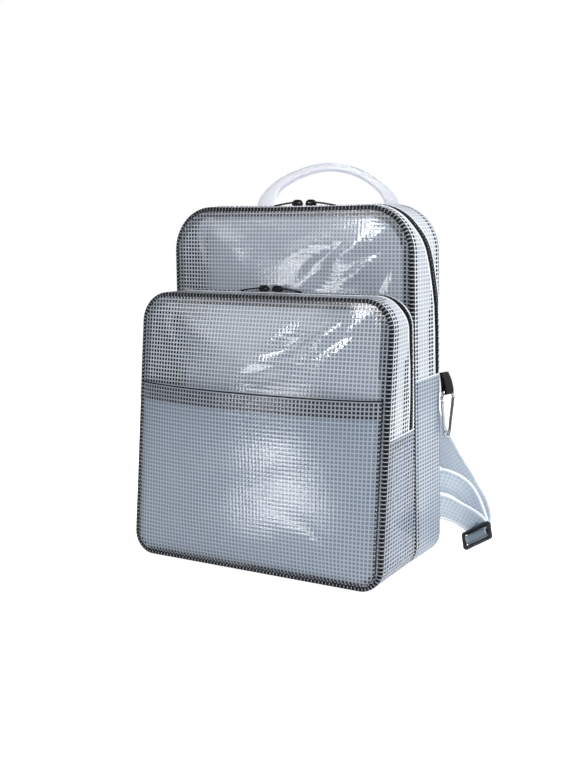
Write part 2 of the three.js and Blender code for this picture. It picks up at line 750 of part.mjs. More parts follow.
function addShoulderStraps() {
  for (const [name, side] of [['right', 1], ['left', -1]]) {
    const shoulder = band(strapRows(shoulderLine, side), strapFilm, sectionCount.shoulder);
    addPiece(`shoulder_strap_${name}`, shoulder, strapFilmFinish);
    const lower = [...strapRows(lowerStart, side), ...threadRows(side), ...strapRows(lowerReturn, side)];
    addPiece(`lower_strap_${name}`, band(lower, strapFilm, sectionCount.lower), strapFilmFinish);
    const slider = addPiece(`strap_slider_${name}`, barSliderGeometry(), blackAcetal);
    const along = mirrored(barSliderAlong, side).multiplyScalar(side);
    const face = mirrored(barSliderFace, side);
    const up = face.clone().cross(along);
    slider.quaternion.setFromRotationMatrix(new THREE.Matrix4().makeBasis(along, up, face));
    slider.position.copy(mirrored(barSliderAt, side));
  }
}

// Carabiner and tab share a frame: local X lies in the carabiner's plane, Y towards the bag, Z up
function addCarabiner() {
  const group = new THREE.Group();
  group.position.copy(carabinerAt);
  group.rotation.z = THREE.MathUtils.degToRad(carabinerTurn);
  const wireLine = new THREE.CatmullRomCurve3(
    carabinerLine.map((row) => new THREE.Vector3(row.out, 0, row.up)), false, 'centripetal',
  );
  const sides = 8;
  const round = (radius) => new THREE.Shape(Array.from({ length: sides }, (_, i) => {
    const angle = ((i + 0.5) / sides) * 2 * Math.PI;
    return new THREE.Vector2(radius * Math.cos(angle), radius * Math.sin(angle));
  }));
  const wireRun = { steps: sectionCount.wire, extrudePath: wireLine };
  addPiece('carabiner_body', new THREE.ExtrudeGeometry(round(wireRadius), wireRun), brightSteel, group);
  const gateLine = new THREE.LineCurve3(
    new THREE.Vector3(gateFoot.out, 0, gateFoot.up),
    new THREE.Vector3(gateTip.out, 0, gateTip.up),
  );
  const gate = new THREE.ExtrudeGeometry(round(gateRadius), { steps: 4, extrudePath: gateLine });
  addPiece('carabiner_gate', gate, brightSteel, group);
  addPiece('side_tab', tabGeometry(), blackTape, group);
  bag.add(group);
}

// Webbing from the seam, round the carabiner's wire and back to the seam
function tabGeometry() {
  const points = [];
  const seamSide = tabInset + tabWebbing;
  points.push(new THREE.Vector2(seamSide, tabRise));
  points.push(new THREE.Vector2(tabLoop + tabWaist, tabRise / 2));
  const turns = 10;
  for (let k = 0; k <= turns; k++) {
    const angle = THREE.MathUtils.degToRad(20 - (220 * k) / turns);
    points.push(new THREE.Vector2(tabLoop * Math.cos(angle), tabLoop * Math.sin(angle)));
  }
  points.push(new THREE.Vector2(tabWaist - tabLoop / 2, tabRise / 2));
  points.push(new THREE.Vector2(seamSide - tabWebbing - gap * 2, tabRise));
  const across = new THREE.Vector3(1, 0, 0);
  const rows = points.map((p) => ({
    at: new THREE.Vector3(0, p.x, tabPivot + p.y),
    across,
    width: tabWidth,
  }));
  return band(rows, tabWebbing, sectionCount.tab);
}

addMainCompartment();
addPocket();
addSlipPocket();
addZipSliders();
addHandle();
addShoulderStraps();
addCarabiner();

export default bag;
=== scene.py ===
# Antistatic tool backpack of clear film with a thread net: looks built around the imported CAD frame.
import math

import bmesh
import bpy
import numpy as np
from mathutils import Matrix, Vector


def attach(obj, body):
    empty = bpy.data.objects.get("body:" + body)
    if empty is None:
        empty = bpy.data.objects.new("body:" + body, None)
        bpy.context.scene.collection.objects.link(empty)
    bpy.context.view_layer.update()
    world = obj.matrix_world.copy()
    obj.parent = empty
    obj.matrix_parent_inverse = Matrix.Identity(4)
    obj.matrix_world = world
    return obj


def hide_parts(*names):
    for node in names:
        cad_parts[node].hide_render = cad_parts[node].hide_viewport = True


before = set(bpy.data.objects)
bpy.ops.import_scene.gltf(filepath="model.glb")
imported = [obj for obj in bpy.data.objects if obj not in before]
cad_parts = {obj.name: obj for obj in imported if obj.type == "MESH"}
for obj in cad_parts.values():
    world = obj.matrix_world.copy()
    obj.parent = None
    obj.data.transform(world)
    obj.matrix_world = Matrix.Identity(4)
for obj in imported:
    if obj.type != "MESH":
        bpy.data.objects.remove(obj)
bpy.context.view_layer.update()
mm = 0.001
print("frame loaded:", len(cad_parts), "nodes")


def linearColour(hexText):
    parts = [int(hexText[i:i + 2], 16) / 255 for i in (1, 3, 5)]
    return tuple(c / 12.92 if c < 0.04045 else ((c + 0.055) / 1.055) ** 2.4 for c in parts) + (1.0,)


def addNode(tree, kind, inputs=None, **settings):
    node = tree.nodes.new(kind)
    for key, value in settings.items():
        setattr(node, key, value)
    for key, value in (inputs or {}).items():
        if isinstance(value, bpy.types.Node):  # a node given as an input stands for its first output
            value = value.outputs[0]
        if isinstance(value, bpy.types.NodeSocket):
            tree.links.new(value, node.inputs[key])
        else:
            node.inputs[key].default_value = value
    return node


def newMaterial(name):
    material = bpy.data.materials.new(name)
    material.use_nodes = True
    tree = material.node_tree
    tree.nodes.clear()
    return material, tree, addNode(tree, "ShaderNodeOutputMaterial")


# A pattern of a real size in millimetres, and the colour that it mixes from a low and a high one
def patternShade(tree, size, low, high, kind="ShaderNodeTexNoise", read="Fac", detail=None, **settings):
    inputs = {"Vector": addNode(tree, "ShaderNodeTexCoord").outputs["Object"], "Scale": 1 / (size * mm)}
    if detail is not None:
        inputs["Detail"] = detail
    value = addNode(tree, kind, inputs, **settings).outputs[read]
    shade = addNode(tree, "ShaderNodeMix", {"Factor": value, "A": linearColour(low),
                                            "B": linearColour(high)}, data_type="RGBA")
    return value, shade.outputs["Result"]


# An opaque finish: a pattern shades it, and raises or sinks its skin where it has a grain
def solidMaterial(name, look, shader, grain=None):
    material, tree, out = newMaterial(name)
    value, shade = patternShade(tree, **look)
    inputs = dict(shader, **{"Base Color": shade})
    if grain is not None:
        bump = addNode(tree, "ShaderNodeBump", {"Height": value, "Strength": grain["strength"],
                                                "Distance": grain["height"] * mm}, invert=grain["sunk"])
        inputs["Normal"] = bump
    surface = addNode(tree, "ShaderNodeBsdfPrincipled", inputs)
    tree.links.new(surface.outputs[0], out.inputs["Surface"])
    return material


# PVC film, calendered: a glass-smooth skin that mirrors at a slant, with more or less milk in its body
def filmMaterial(name, milk, milkColour, clearing=None, roughness=0.06):
    look = {"tint": "#ebf1f9", "headOn": 0.045, "slant": 0.4, "slantPower": 4.0, "through": 0.45,
            "cloud": 70.0, "cloudLow": 0.3, "cloudHigh": 0.7, "milkSpread": 0.15}
    material, tree, out = newMaterial(name)
    place = addNode(tree, "ShaderNodeTexCoord").outputs["Object"]
    cloud = addNode(tree, "ShaderNodeTexNoise", {"Vector": place, "Scale": 1 / (look["cloud"] * mm)})
    least, most = (1 - look["milkSpread"]) * milk, min(1.0, (1 + look["milkSpread"]) * milk)
    share = addNode(tree, "ShaderNodeMapRange",
                    {"Value": cloud.outputs["Fac"], "From Min": look["cloudLow"],
                     "From Max": look["cloudHigh"], "To Min": least, "To Max": most})
    if clearing is not None:  # painted shade: clearer towards one side, so that side shows darker
        axes = addNode(tree, "ShaderNodeSeparateXYZ", {"Vector": place})
        side = addNode(tree, "ShaderNodeMapRange",
                       {"Value": axes.outputs["X"], "From Min": clearing["from"] * mm,
                        "From Max": clearing["to"] * mm, "To Min": clearing["least"], "To Max": 1.0},
                       interpolation_type="SMOOTHSTEP")
        share = addNode(tree, "ShaderNodeMath", {0: share, 1: side}, operation="MULTIPLY")
    facing = addNode(tree, "ShaderNodeLayerWeight", {"Blend": 0.5})
    steep = addNode(tree, "ShaderNodeMath", {0: facing.outputs["Facing"], 1: look["slantPower"]},
                    operation="POWER")
    mirror = addNode(tree, "ShaderNodeMath", {0: steep, 1: look["slant"], 2: look["headOn"]},
                     operation="MULTIPLY_ADD")
    clear = addNode(tree, "ShaderNodeBsdfTransparent", {"Color": linearColour(look["tint"])})
    bounce = addNode(tree, "ShaderNodeBsdfDiffuse", {"Color": linearColour(milkColour)})
    glow = addNode(tree, "ShaderNodeBsdfTranslucent", {"Color": linearColour(milkColour)})
    cloudy = addNode(tree, "ShaderNodeMixShader", {0: look["through"], 1: bounce, 2: glow})
    body = addNode(tree, "ShaderNodeMixShader", {0: share, 1: clear, 2: cloudy})
    gloss = addNode(tree, "ShaderNodeBsdfAnisotropic", {"Roughness": roughness})
    film = addNode(tree, "ShaderNodeMixShader", {0: mirror, 1: body, 2: gloss})
    tree.links.new(film.outputs[0], out.inputs["Surface"])
    return material


# Polyester yarn laminated between films: matt white thread under a wet-looking skin
def yarnMaterial(name, light, dark):
    look = {"fibre": 0.7, "roughness": 0.42, "coat": 0.8, "coatRoughness": 0.07, "through": 0.2}
    material, tree, out = newMaterial(name)
    shade = patternShade(tree, look["fibre"], dark, light)[1]
    yarn = addNode(tree, "ShaderNodeBsdfPrincipled",
                   {"Base Color": shade, "Roughness": look["roughness"], "Coat Weight": look["coat"],
                    "Coat Roughness": look["coatRoughness"], "IOR": 1.5})
    glow = addNode(tree, "ShaderNodeBsdfTranslucent", {"Color": shade})
    both = addNode(tree, "ShaderNodeMixShader", {0: look["through"], 1: yarn, 2: glow})
    tree.links.new(both.outputs[0], out.inputs["Surface"])
    return material


# Foam-backed PVC sheet, embossed: pale blue-grey, matt with a slight leather grain
def padSheetMaterial():
    look = {"light": "#bccce0", "dark": "#a2b5cc", "cloud": 60.0, "grain": 1.6, "grainHeight": 0.2}
    material, tree, out = newMaterial("paleFoamBackedPvcEmbossed")
    shade = patternShade(tree, look["cloud"], look["dark"], look["light"])[1]
    place = addNode(tree, "ShaderNodeTexCoord").outputs["Object"]
    grain = addNode(tree, "ShaderNodeTexVoronoi", {"Vector": place, "Scale": 1 / (look["grain"] * mm)})
    bump = addNode(tree, "ShaderNodeBump", {"Height": grain.outputs["Distance"], "Strength": 0.35,
                                            "Distance": look["grainHeight"] * mm})
    sheet = addNode(tree, "ShaderNodeBsdfPrincipled",
                    {"Base Color": shade, "Roughness": 0.55, "Normal": bump})
    tree.links.new(sheet.outputs[0], out.inputs["Surface"])
    return material


# Doubled film for straps and handle: light soaks through, so it reads as a cool milky white
def strapFilmMaterial(name, light, dark, opacity, through):
    look = {"cloud": 22.0, "cloudHeight": 0.8, "clear": "#f2f6fc"}
    material, tree, out = newMaterial(name)
    cloud, shade = patternShade(tree, look["cloud"], dark, light)
    bump = addNode(tree, "ShaderNodeBump", {"Height": cloud, "Strength": 0.12,
                                            "Distance": look["cloudHeight"] * mm})
    film = addNode(tree, "ShaderNodeBsdfPrincipled",
                   {"Base Color": shade, "Roughness": 0.3, "Coat Weight": 0.6, "Coat Roughness": 0.1, 
                    "IOR": 1.52, "Normal": bump})
    glow = addNode(tree, "ShaderNodeBsdfTranslucent", {"Color": shade})
    milky = addNode(tree, "ShaderNodeMixShader", {0: through, 1: film, 2: glow})
    clear = addNode(tree, "ShaderNodeBsdfTransparent", {"Color": linearColour(look["clear"])})
    sheet = addNode(tree, "ShaderNodeMixShader", {0: opacity, 1: clear, 2: milky})
    tree.links.new(sheet.outputs[0], out.inputs["Surface"])
    return material


# Spring steel wire, nickel plated: bright with faint drawing marks
def wireMaterial():
    look = {"light": "#c3c6c8", "dark": "#8a8e92", "mark": 1.2, "polished": 0.08, "dulled": 0.22}
    material, tree, out = newMaterial("nickelPlatedSteelWireDrawn")
    mark, shade = patternShade(tree, look["mark"], look["dark"], look["light"], detail=4.0)
    spread = addNode(tree, "ShaderNodeMapRange",
                     {"Value": mark, "To Min": look["polished"], "To Max": look["dulled"]})
    wire = addNode(tree, "ShaderNodeBsdfPrincipled",
                   {"Base Color": shade, "Metallic": 1.0, "Roughness": spread})
    tree.links.new(wire.outputs[0], out.inputs["Surface"])
    return material


# Nylon zip coil, drawn monofilament: satin black
def coilMaterial(name, light, dark):
    return solidMaterial(name, {"size": 2.5, "low": dark, "high": light},
                         {"Roughness": 0.42, "Specular IOR Level": 0.2})


# Spun polyester sewing thread: matt, with a twist
def stitchMaterial(name, light, dark):
    return solidMaterial(name, {"size": 4.0, "low": dark, "high": light, "kind": "ShaderNodeTexWave",
                                "bands_direction": "DIAGONAL"}, {"Roughness": 0.6})


seamFilm = filmMaterial("clearPvcFilmOverTape", 0.03, "#c3cedd", None, 0.2)
# Painted shade: the window and pocket films clear towards their left side, so it shows darker
windowFilm = filmMaterial("clearPvcFilmWindow", 0.55, "#cbd5e3", {"from": -124, "to": -84, "least": 0.06})
pocketFilm = filmMaterial("clearPvcFilmPocket", 0.52, "#becad9", {"from": -104, "to": -40, "least": 0.05})
# Painted shade: a darker film copy for the slip pocket
shadedSlipFilm = filmMaterial("clearPvcFilmSlipPocket", 0.58, "#94a3b5", None, 0.1)
# Painted shade: darker film copies for the two base bands
shadedBaseFilm = filmMaterial("clearPvcFilmBaseBand", 0.45, "#8c9cb0")
shadedMainBaseFilm = filmMaterial("milkyPvcFilmBaseBand", 0.62, "#a3b2c4")
wallFilm = filmMaterial("milkyPvcFilmZipBand", 0.8, "#d6dde5")
whiteYarn = yarnMaterial("whitePolyesterYarnLaminated", "#eef2f8", "#dde4ee")
# Painted shade: a darker copy of the white yarn for the front panels
shadedPanelYarn = yarnMaterial("palePolyesterYarnLaminated", "#d3dae4", "#bec7d3")
# Painted shade: a greyer copy of the yarn for threads over black tape and for the binding's bars
shadedSeamYarn = yarnMaterial("polyesterYarnOverBlackTape", "#a8b0bc", "#8b94a2")
# Painted shade: a darker yarn copy for the slip pocket
shadedSlipYarn = yarnMaterial("greyedPolyesterYarnLaminated", "#b0bac7", "#9da8b7")
# Painted shade: darker yarn copies for the two base bands
shadedBaseYarn = yarnMaterial("greyedPolyesterYarnBaseBand", "#b1bbc8", "#9ca7b6")
shadedMainBaseYarn = yarnMaterial("palePolyesterYarnBaseBand", "#c6d0dc", "#b2bdcb")
# Painted shade: a dark grey copy of the yarn for bars on the top of the binding
shadedTopYarn = yarnMaterial("polyesterYarnOnTurnedEdge", "#777e88", "#5d646e")
strapYarn = yarnMaterial("polyesterYarnInDoubledFilm", "#dbe4ed", "#cad5e1")
# Woven polypropylene tape: dull black with a fine cross rib
blackTape = solidMaterial("blackPolypropyleneTapeWoven",
                          {"size": 1.1, "low": "#131418", "high": "#07080a", "kind": "ShaderNodeTexVoronoi",
                           "read": "Distance"}, {"Roughness": 0.72, "Specular IOR Level": 0.25},
                          {"strength": 0.5, "height": 0.3, "sunk": True})
# The same tape seen through the film that is turned over it: black under gloss
coveredTape = solidMaterial("blackTapeUnderTurnedFilm", {"size": 3.0, "low": "#050607", "high": "#0d0e11"},
                            {"Roughness": 0.55, "Specular IOR Level": 0.12, "Coat Weight": 0.03,
                             "Coat Roughness": 0.2})
# Film folded on itself at a hem: milky white, softly glossy
foldedFilm = solidMaterial("foldedPvcFilmWelded",
                           {"size": 9.0, "low": "#d5dde8", "high": "#eef2f7", "detail": 3.0},
                           {"Roughness": 0.3, "Coat Weight": 0.6, "Coat Roughness": 0.08, "IOR": 1.52},
                           {"strength": 0.25, "height": 0.6, "sunk": False})
padSheet = padSheetMaterial()
strapFilm = strapFilmMaterial("doubledPvcFilmStrap", "#c8d4df", "#b4c2d0", 0.96, 0.4)
handleFilm = strapFilmMaterial("rolledPvcFilmHandle", "#fafbff", "#f0f3fc", 0.96, 0.24)
# Painted shade: a darker, opaque copy of the strap film for where it is drawn round the slider's bar
shadedRollFilm = strapFilmMaterial("tightPvcFilmRoll", "#8694a0", "#65727d", 1.0, 0.0)
zipCoil = coilMaterial("blackNylonCoilDrawn", "#17181b", "#08080a")
# The same coil painted light grey, a painted highlight on the flat top of each turn
highlightCoil = coilMaterial("blackNylonCoilPolished", "#8d9096", "#63666c")
# Die-cast zinc, black lacquered: deep black with a faint orange peel
lacquer = solidMaterial("blackLacqueredZincCast", {"size": 0.9, "low": "#08090a", "high": "#17181b"},
                        {"Roughness": 0.42, "Coat Weight": 0.03, "Specular IOR Level": 0.14,
                         "Coat Roughness": 0.1}, {"strength": 0.15, "height": 0.1, "sunk": False})
# Acetal, injection moulded: black with a fine spark-eroded grain
acetal = solidMaterial("blackAcetalMoulded",
                       {"size": 0.7, "low": "#131417", "high": "#26282d", "detail": 3.0},
                       {"Roughness": 0.36}, {"strength": 0.3, "height": 0.08, "sunk": False})
steelWire = wireMaterial()
handleThread = stitchMaterial("lavenderSpunPolyesterThread", "#c3cbe0", "#a4aec8")
paleStitch = stitchMaterial("whiteSpunPolyesterThread", "#f3f5f8", "#cfd6df")
darkStitch = stitchMaterial("blackSpunPolyesterThread", "#2a2c31", "#101113")
print("materials made:", len(bpy.data.materials))


# Meshes are worked out in millimetres and stored in metres
def makePiece(name, points, faces, materials, faceMaterial=None):
    mesh = bpy.data.meshes.new(name)
    mesh.from_pydata((np.asarray(points, float) * mm).tolist(), [], np.asarray(faces, int).tolist())
    for material in materials:
        mesh.materials.append(material)
    if faceMaterial is not None:
        mesh.polygons.foreach_set("material_index", np.asarray(faceMaterial, np.int32))
    mesh.polygons.foreach_set("use_smooth", np.ones(len(mesh.polygons), bool))
    mesh.update()
    piece = bpy.data.objects.new(name, mesh)
    bpy.context.scene.collection.objects.link(piece)
    return piece


# A finished piece takes its solid's place, on the body that carries it
def dress(piece, node, body="bag"):
    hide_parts(node)
    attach(piece, body)


def gridFaces(rows, columns, closeRows=False, closeColumns=False):
    r = np.arange(rows if closeRows else rows - 1)
    c = np.arange(columns if closeColumns else columns - 1)
    r, c = [a.ravel() for a in np.meshgrid(r, c, indexing="ij")]
    r2, c2 = (r + 1) % rows, (c + 1) % columns
    return np.stack([r * columns + c, r2 * columns + c, r2 * columns + c2, r * columns + c2], -1)


# Several point and face tables as one, with a material number for each
class Heap:
    def __init__(self):
        self.points, self.faces, self.kinds, self.count = [], [], [], 0

    def add(self, points, faces, kind):
        points = np.asarray(points, float).reshape(-1, 3)
        faces = np.asarray(faces, int)
        self.points.append(points)
        self.faces.append(faces + self.count)
        self.kinds.append(np.broadcast_to(np.asarray(kind), (len(faces),)))
        self.count += len(points)

    def strip(self, lines, kind, closed=False):
        self.add(np.stack(lines, 1), gridFaces(len(lines[0]), len(lines), closed), kind)

    def piece(self, name, materials):
        return makePiece(name, np.concatenate(self.points), np.concatenate(self.faces), materials,
                         np.concatenate(self.kinds))


def unit(v):
    return v / np.maximum(np.linalg.norm(v, axis=-1, keepdims=True), 1e-9)


# Frames of the bag's panels, as sewn
mainShape = {"topWidth": 301, "baseWidth": 308, "height": 386.5, "topRadius": 51, "baseRadius": 26,
             "topSag": 1, "zipEnd": 205}
pocketShape = {"topWidth": 312, "baseWidth": 313, "height": 294, "topRadius": 33, "baseRadius": 25,
               "topSag": 0, "zipEnd": 155}
seatShape = dict(pocketShape, topWidth=302, baseWidth=307)
slipShape = {"topWidth": 312.3, "baseWidth": 313, "height": 196, "topRadius": 3, "baseRadius": 25,
             "topSag": 0, "zipEnd": 98}
shapes = {"main": mainShape, "pocket": pocketShape}
depths = {"main": 67, "pocketTop": 54, "pocketBase": 87, "mainDome": 9, "backDome": 7, "pocketDome": 13,
          "backPad": 5, "film": 1.2, "bead": 3}
mainFront, mainBack = -depths["main"] / 2, depths["main"] / 2
leastRadius = 0.6
edgeIn = 2.8  # a film's edge lies this far in, under the binding
# Stations round half an outline: where its base run, base corner, wall up to the zip's end, upper wall, top
# corner and top run end. The other half mirrors them.
baseRunEnd, baseTurnEnd, zipStation, topTurnStart, topTurnEnd, topStation = 2, 6, 8, 12, 16, 19
stationCount = 2 * topStation
right, left = zipStation, stationCount - zipStation
around = np.linspace(0, stationCount, 401)[:-1]


def outlineAt(shape, inset, station):
    s = np.mod(np.asarray(station, float), stationCount)
    far = s > topStation
    s = np.where(far, stationCount - s, s)
    top = shape["height"] - inset
    topHalf, baseHalf = shape["topWidth"] / 2 - inset, shape["baseWidth"] / 2 - inset
    topRadius, baseRadius = [max(shape[k] - inset, leastRadius) for k in ("topRadius", "baseRadius")]
    low, high, zipEnd = inset + baseRadius, top - topRadius, shape["zipEnd"]
    zipHalf = baseHalf + (topHalf - baseHalf) * (zipEnd - low) / (high - low)
    baseRun, topRun = baseHalf - baseRadius, topHalf - topRadius
    lowTurn = (s - baseRunEnd) / (baseTurnEnd - baseRunEnd) * math.pi / 2 - math.pi / 2
    highTurn = (s - topTurnStart) / (topTurnEnd - topTurnStart) * math.pi / 2
    lowShare = (s - baseTurnEnd) / (zipStation - baseTurnEnd)
    highShare = (s - zipStation) / (topTurnStart - zipStation)
    runs = [s < end for end in (baseRunEnd, baseTurnEnd, zipStation, topTurnStart, topTurnEnd)]
    x = np.select(runs, [baseRun * s / baseRunEnd, baseRun + baseRadius * np.cos(lowTurn),
                         baseHalf + (zipHalf - baseHalf) * lowShare,
                         zipHalf + (topHalf - zipHalf) * highShare, topRun + topRadius * np.cos(highTurn)],
                  topRun * (1 - (s - topTurnEnd) / (topStation - topTurnEnd)))
    z = np.select(runs, [np.full_like(s, inset), low + baseRadius * np.sin(lowTurn),
                         low + (zipEnd - low) * lowShare, zipEnd + (high - zipEnd) * highShare,
                         high + topRadius * np.sin(highTurn)],
                  top - shape["topSag"] * (1 - (x / topRun) ** 2))
    return np.where(far, -x, x), z


# Stations at even lengths round an outline
def evenStations(shape, start, end, samples=4000):
    stations = np.linspace(start, end, samples)
    x, z = outlineAt(shape, 0, stations)
    run = np.concatenate([[0], np.cumsum(np.hypot(np.diff(x), np.diff(z)))])
    return run[-1], lambda length: np.interp(length, run, stations)


# Film swells softly out of its frame, with long creases that run from the corners
domePower = 2.4
creaseFade = 3  # creases fade out where the film swells less than this
creases = {  # middle x and z, direction in degrees, length, half width, rise
    "main": [(80, 345, 28, 110, 13, 2.4), (40, 318, 38, 120, 12, -1.8), (-85, 350, -30, 90, 14, 1.5),
             (96, 322, 33, 90, 6, 1.1), (58, 338, 30, 100, 5, -0.9), (110, 352, 40, 60, 5, 0.8),
             (20, 340, 24, 90, 7, 0.8), (112, 300, 60, 80, 7, -0.9), (-110, 330, -52, 80, 8, 0.8)],
    "pocket": [(85, 262, 30, 110, 13, 2.6), (35, 238, 36, 120, 13, -2.0), (-80, 255, -34, 90, 15, 1.6),
               (102, 244, 34, 90, 6, 1.2), (66, 256, 31, 100, 5, -1.0), (20, 226, 8, 110, 6, 1.0),
               (118, 268, 42, 60, 5, 0.8), (-112, 240, -56, 80, 8, 0.8)],
    "slip": [(60, 60, -24, 170, 16, 1.2), (-50, 70, 28, 160, 18, 1.0), (10, 120, 12, 200, 16, -0.9),
             (96, 40, -40, 90, 9, 0.9), (-110, 45, 44, 90, 9, 0.9)],
}


def dome(shape, height, x, z):
    half = max(shape["topWidth"], shape["baseWidth"]) / 2
    middle = shape["height"] / 2
    across = np.maximum(0, 1 - np.abs(x / half) ** domePower)
    upright = np.maximum(0, 1 - np.abs((z - middle) / middle) ** domePower)
    return height * across * upright


def creased(rows, x, z):
    rise = np.zeros(np.broadcast(x, z).shape)
    for cx, cz, angle, length, spread, height in rows:
        c, s = math.cos(math.radians(angle)), math.sin(math.radians(angle))
        along, aside = (x - cx) * c + (z - cz) * s, (z - cz) * c - (x - cx) * s
        reach = np.maximum(0, 1 - (2 * along / length) ** 2)
        rise = rise + height * reach ** 2 * np.exp(-(aside / spread) ** 2)
    return rise


def swollen(shape, height, rows, x, z):
    swell = dome(shape, height, x, z)
    return swell + creased(rows, x, z) * np.minimum(1, swell / creaseFade)


def mainFaceY(x, z):
    return mainFront - swollen(mainShape, depths["mainDome"], creases["main"], x, z)


def pocketPlaneY(z):
    taper = depths["pocketBase"] - depths["pocketTop"]
    return mainFront - depths["pocketBase"] + taper * z / pocketShape["height"]


def pocketFaceY(x, z, rows=creases["pocket"]):
    return pocketPlaneY(z) - swollen(pocketShape, depths["pocketDome"], rows, x, z)


slipFit = {"standoff": 2.4, "gape": 10, "gapeStart": 0.35, "seamStandoff": 0.35, "seamWidth": 15,
           "hemHeight": 18, "edgeTape": 11.5, "deepestDent": 0.8, "longCreases": 3}


def slipFaceY(x, z):
    t = np.clip((z / slipShape["height"] - slipFit["gapeStart"]) / (1 - slipFit["gapeStart"]), 0, 1)
    mouth = t * t * (3 - 2 * t) * np.maximum(0, 1 - (2 * x / slipShape["topWidth"]) ** 2)
    taper = (slipShape["baseWidth"] - slipShape["topWidth"]) / 2
    half = slipShape["baseWidth"] / 2 - taper * z / slipShape["height"] - depths["bead"]
    near = np.clip(1 - np.minimum(half - np.abs(x), z - depths["bead"]) / slipFit["seamWidth"], 0, 1)
    standoff = slipFit["standoff"] + (slipFit["seamStandoff"] - slipFit["standoff"]) * near
    wrinkle = np.maximum(creased(creases["slip"], x, z) * (1 - near), -slipFit["deepestDent"])
    under = pocketFaceY(x, z, creases["pocket"][:slipFit["longCreases"]])
    return under - standoff - slipFit["gape"] * mouth - depths["film"] - wrinkle


def mainSide(station, depth, inset):
    x, z = outlineAt(mainShape, inset, station)
    return np.stack([x, mainFront + depth + 0 * x, z], -1)


def pocketDepth(station):
    z = outlineAt(pocketShape, 0, station)[1]
    seatX, seatZ = outlineAt(seatShape, 0, station)
    return mainFront - dome(mainShape, depths["mainDome"], seatX, seatZ) - pocketPlaneY(z)


def pocketSide(station, depth, inset):
    x, z = outlineAt(pocketShape, inset, station)
    seatX, seatZ = outlineAt(seatShape, inset, station)
    start = np.stack([x, pocketPlaneY(z), z], -1)
    seat = np.stack([seatX, mainFront - dome(mainShape, depths["mainDome"], seatX, seatZ), seatZ], -1)
    place = np.asarray(depth / pocketDepth(station))[..., None]
    return start + (seat - start) * place


def wallDepth(walled, station):
    return depths["main"] + 0 * station if walled == "main" else pocketDepth(station)


walls = {"main": mainSide, "pocket": pocketSide}
zipLines = {  # heights, and how far back the chain lies there as a share of the wall's depth
    "main": ([205, 252, 279, 300, 325, 348, 365, 385], [0.9, 0.9, 0.87, 0.79, 0.67, 0.5, 0.37, 0.33]),
    "pocket": ([155, 222, 262, 294], [0.87, 0.92, 0.89, 0.8]),
}
# The zip's lips part and close a little along its way, and its tape shows through the film below a height
zipFit = {"open": {"main": 6.2, "pocket": 5.2}, "wander": {"main": 0.06, "pocket": 0.28}, "wave": 21,
          "cornerGape": {"share": 0.75, "height": 284, "spread": 11, "beyond": 90},
          "rearRim": {"main": 4.2, "pocket": 2.2}, "rearEdge": {"main": 2.8, "pocket": 0.3},
          "shownBelow": {"main": 300, "pocket": 252}, "taper": 34, "tapeFront": 17, "rearTape": 9,
          "farTape": 60, "farFrom": 0.6, "farBlend": 0.1, "tapeEdge": 3}


def zipDepth(walled, station):
    heights, places = zipLines[walled]
    return np.interp(outlineAt(shapes[walled], 0, station)[1], heights, places) * wallDepth(walled, station)


def frontLip(walled, station):
    x, z = outlineAt(shapes[walled], 0, station)
    part = 1 + zipFit["wander"][walled] * np.sin((np.abs(x) - z) / zipFit["wave"])
    if walled == "pocket":
        gape = zipFit["cornerGape"]
        part = part + (gape["share"] * np.exp(-((z - gape["height"]) / gape["spread"]) ** 2)
                       * (np.abs(x) > gape["beyond"]))
    return zipDepth(walled, station) - zipFit["open"][walled] * part


def rearLip(walled, station):
    wide = zipDepth(walled, station) + zipFit["open"][walled]
    return np.minimum(wide, wallDepth(walled, station) - zipFit["rearRim"][walled])


# The thread net: threads stand a little proud of the film, and the film dips between them
net = {"pitch": 25.4 / 6, "thread": 1.35, "leastFace": 0.02, "topRow": 0.3, "tapeMargin": 0.3,
       "wallPitch": 25.4 / 4, "wallThread": 1.6,  # wall threads stand wider apart across the depth
       "wallSpan": {"main": depths["main"], "pocket": 90}}


def threadLines(low, high, pitch=net["pitch"], thread=net["thread"]):
    count = int(math.ceil((high - low) / pitch))
    centres = (low + high) / 2 + (np.arange(count + 1) - count / 2) * pitch
    return np.sort(np.concatenate([centres - thread / 2, centres, centres + thread / 2]))


# Each thread is three lines of points. Face kinds: 0 yarn, 1 film, and 2 more over black tape.
def netSheet(heap, uLines, vLines, place, clamp, outward, taped=None, ridge=0.025):
    faces = gridFaces(len(uLines), len(vLines))
    cellU, cellV = np.divmod(np.arange(len(faces)), len(vLines) - 1)
    isFilm = (cellU % 3 == 2) & (cellV % 3 == 2)
    u, v = clamp(*np.meshgrid(uLines, vLines, indexing="ij"))
    points = place(u, v)
    probe = 0.5
    alongU, alongV = place(u + probe, v) - place(u - probe, v), place(u, v + probe) - place(u, v - probe)
    normal = unit(np.cross(alongU, alongV))
    normal *= np.sign(np.sum(normal * outward(points), -1, keepdims=True))
    onU = (np.arange(len(uLines)) % 3 == 1)[:, None]
    onV = (np.arange(len(vLines)) % 3 == 1)[None, :]
    points = points + normal * (ridge * (onU | onV))[..., None]
    flat = points.reshape(-1, 3)
    a, b, c, d = [flat[faces[:, k]] for k in range(4)]
    spread = np.cross(c - a, d - b)
    kept = np.linalg.norm(spread, axis=1) / 2 > net["leastFace"]
    kinds = np.where(isFilm, 1, 0)
    if taped is not None:
        midU, midV = [w.reshape(-1)[faces].mean(1) for w in (u, v)]
        kinds = kinds + 2 * taped(midU, midV)
    faces, kinds = faces[kept], kinds[kept]
    facing = np.sum(spread[kept] * normal.reshape(-1, 3)[faces[:, 0]], -1)
    faces[facing < 0] = faces[facing < 0][:, ::-1]
    used, inverse = np.unique(faces, return_inverse=True)
    heap.add(flat[used], inverse.reshape(faces.shape), kinds)


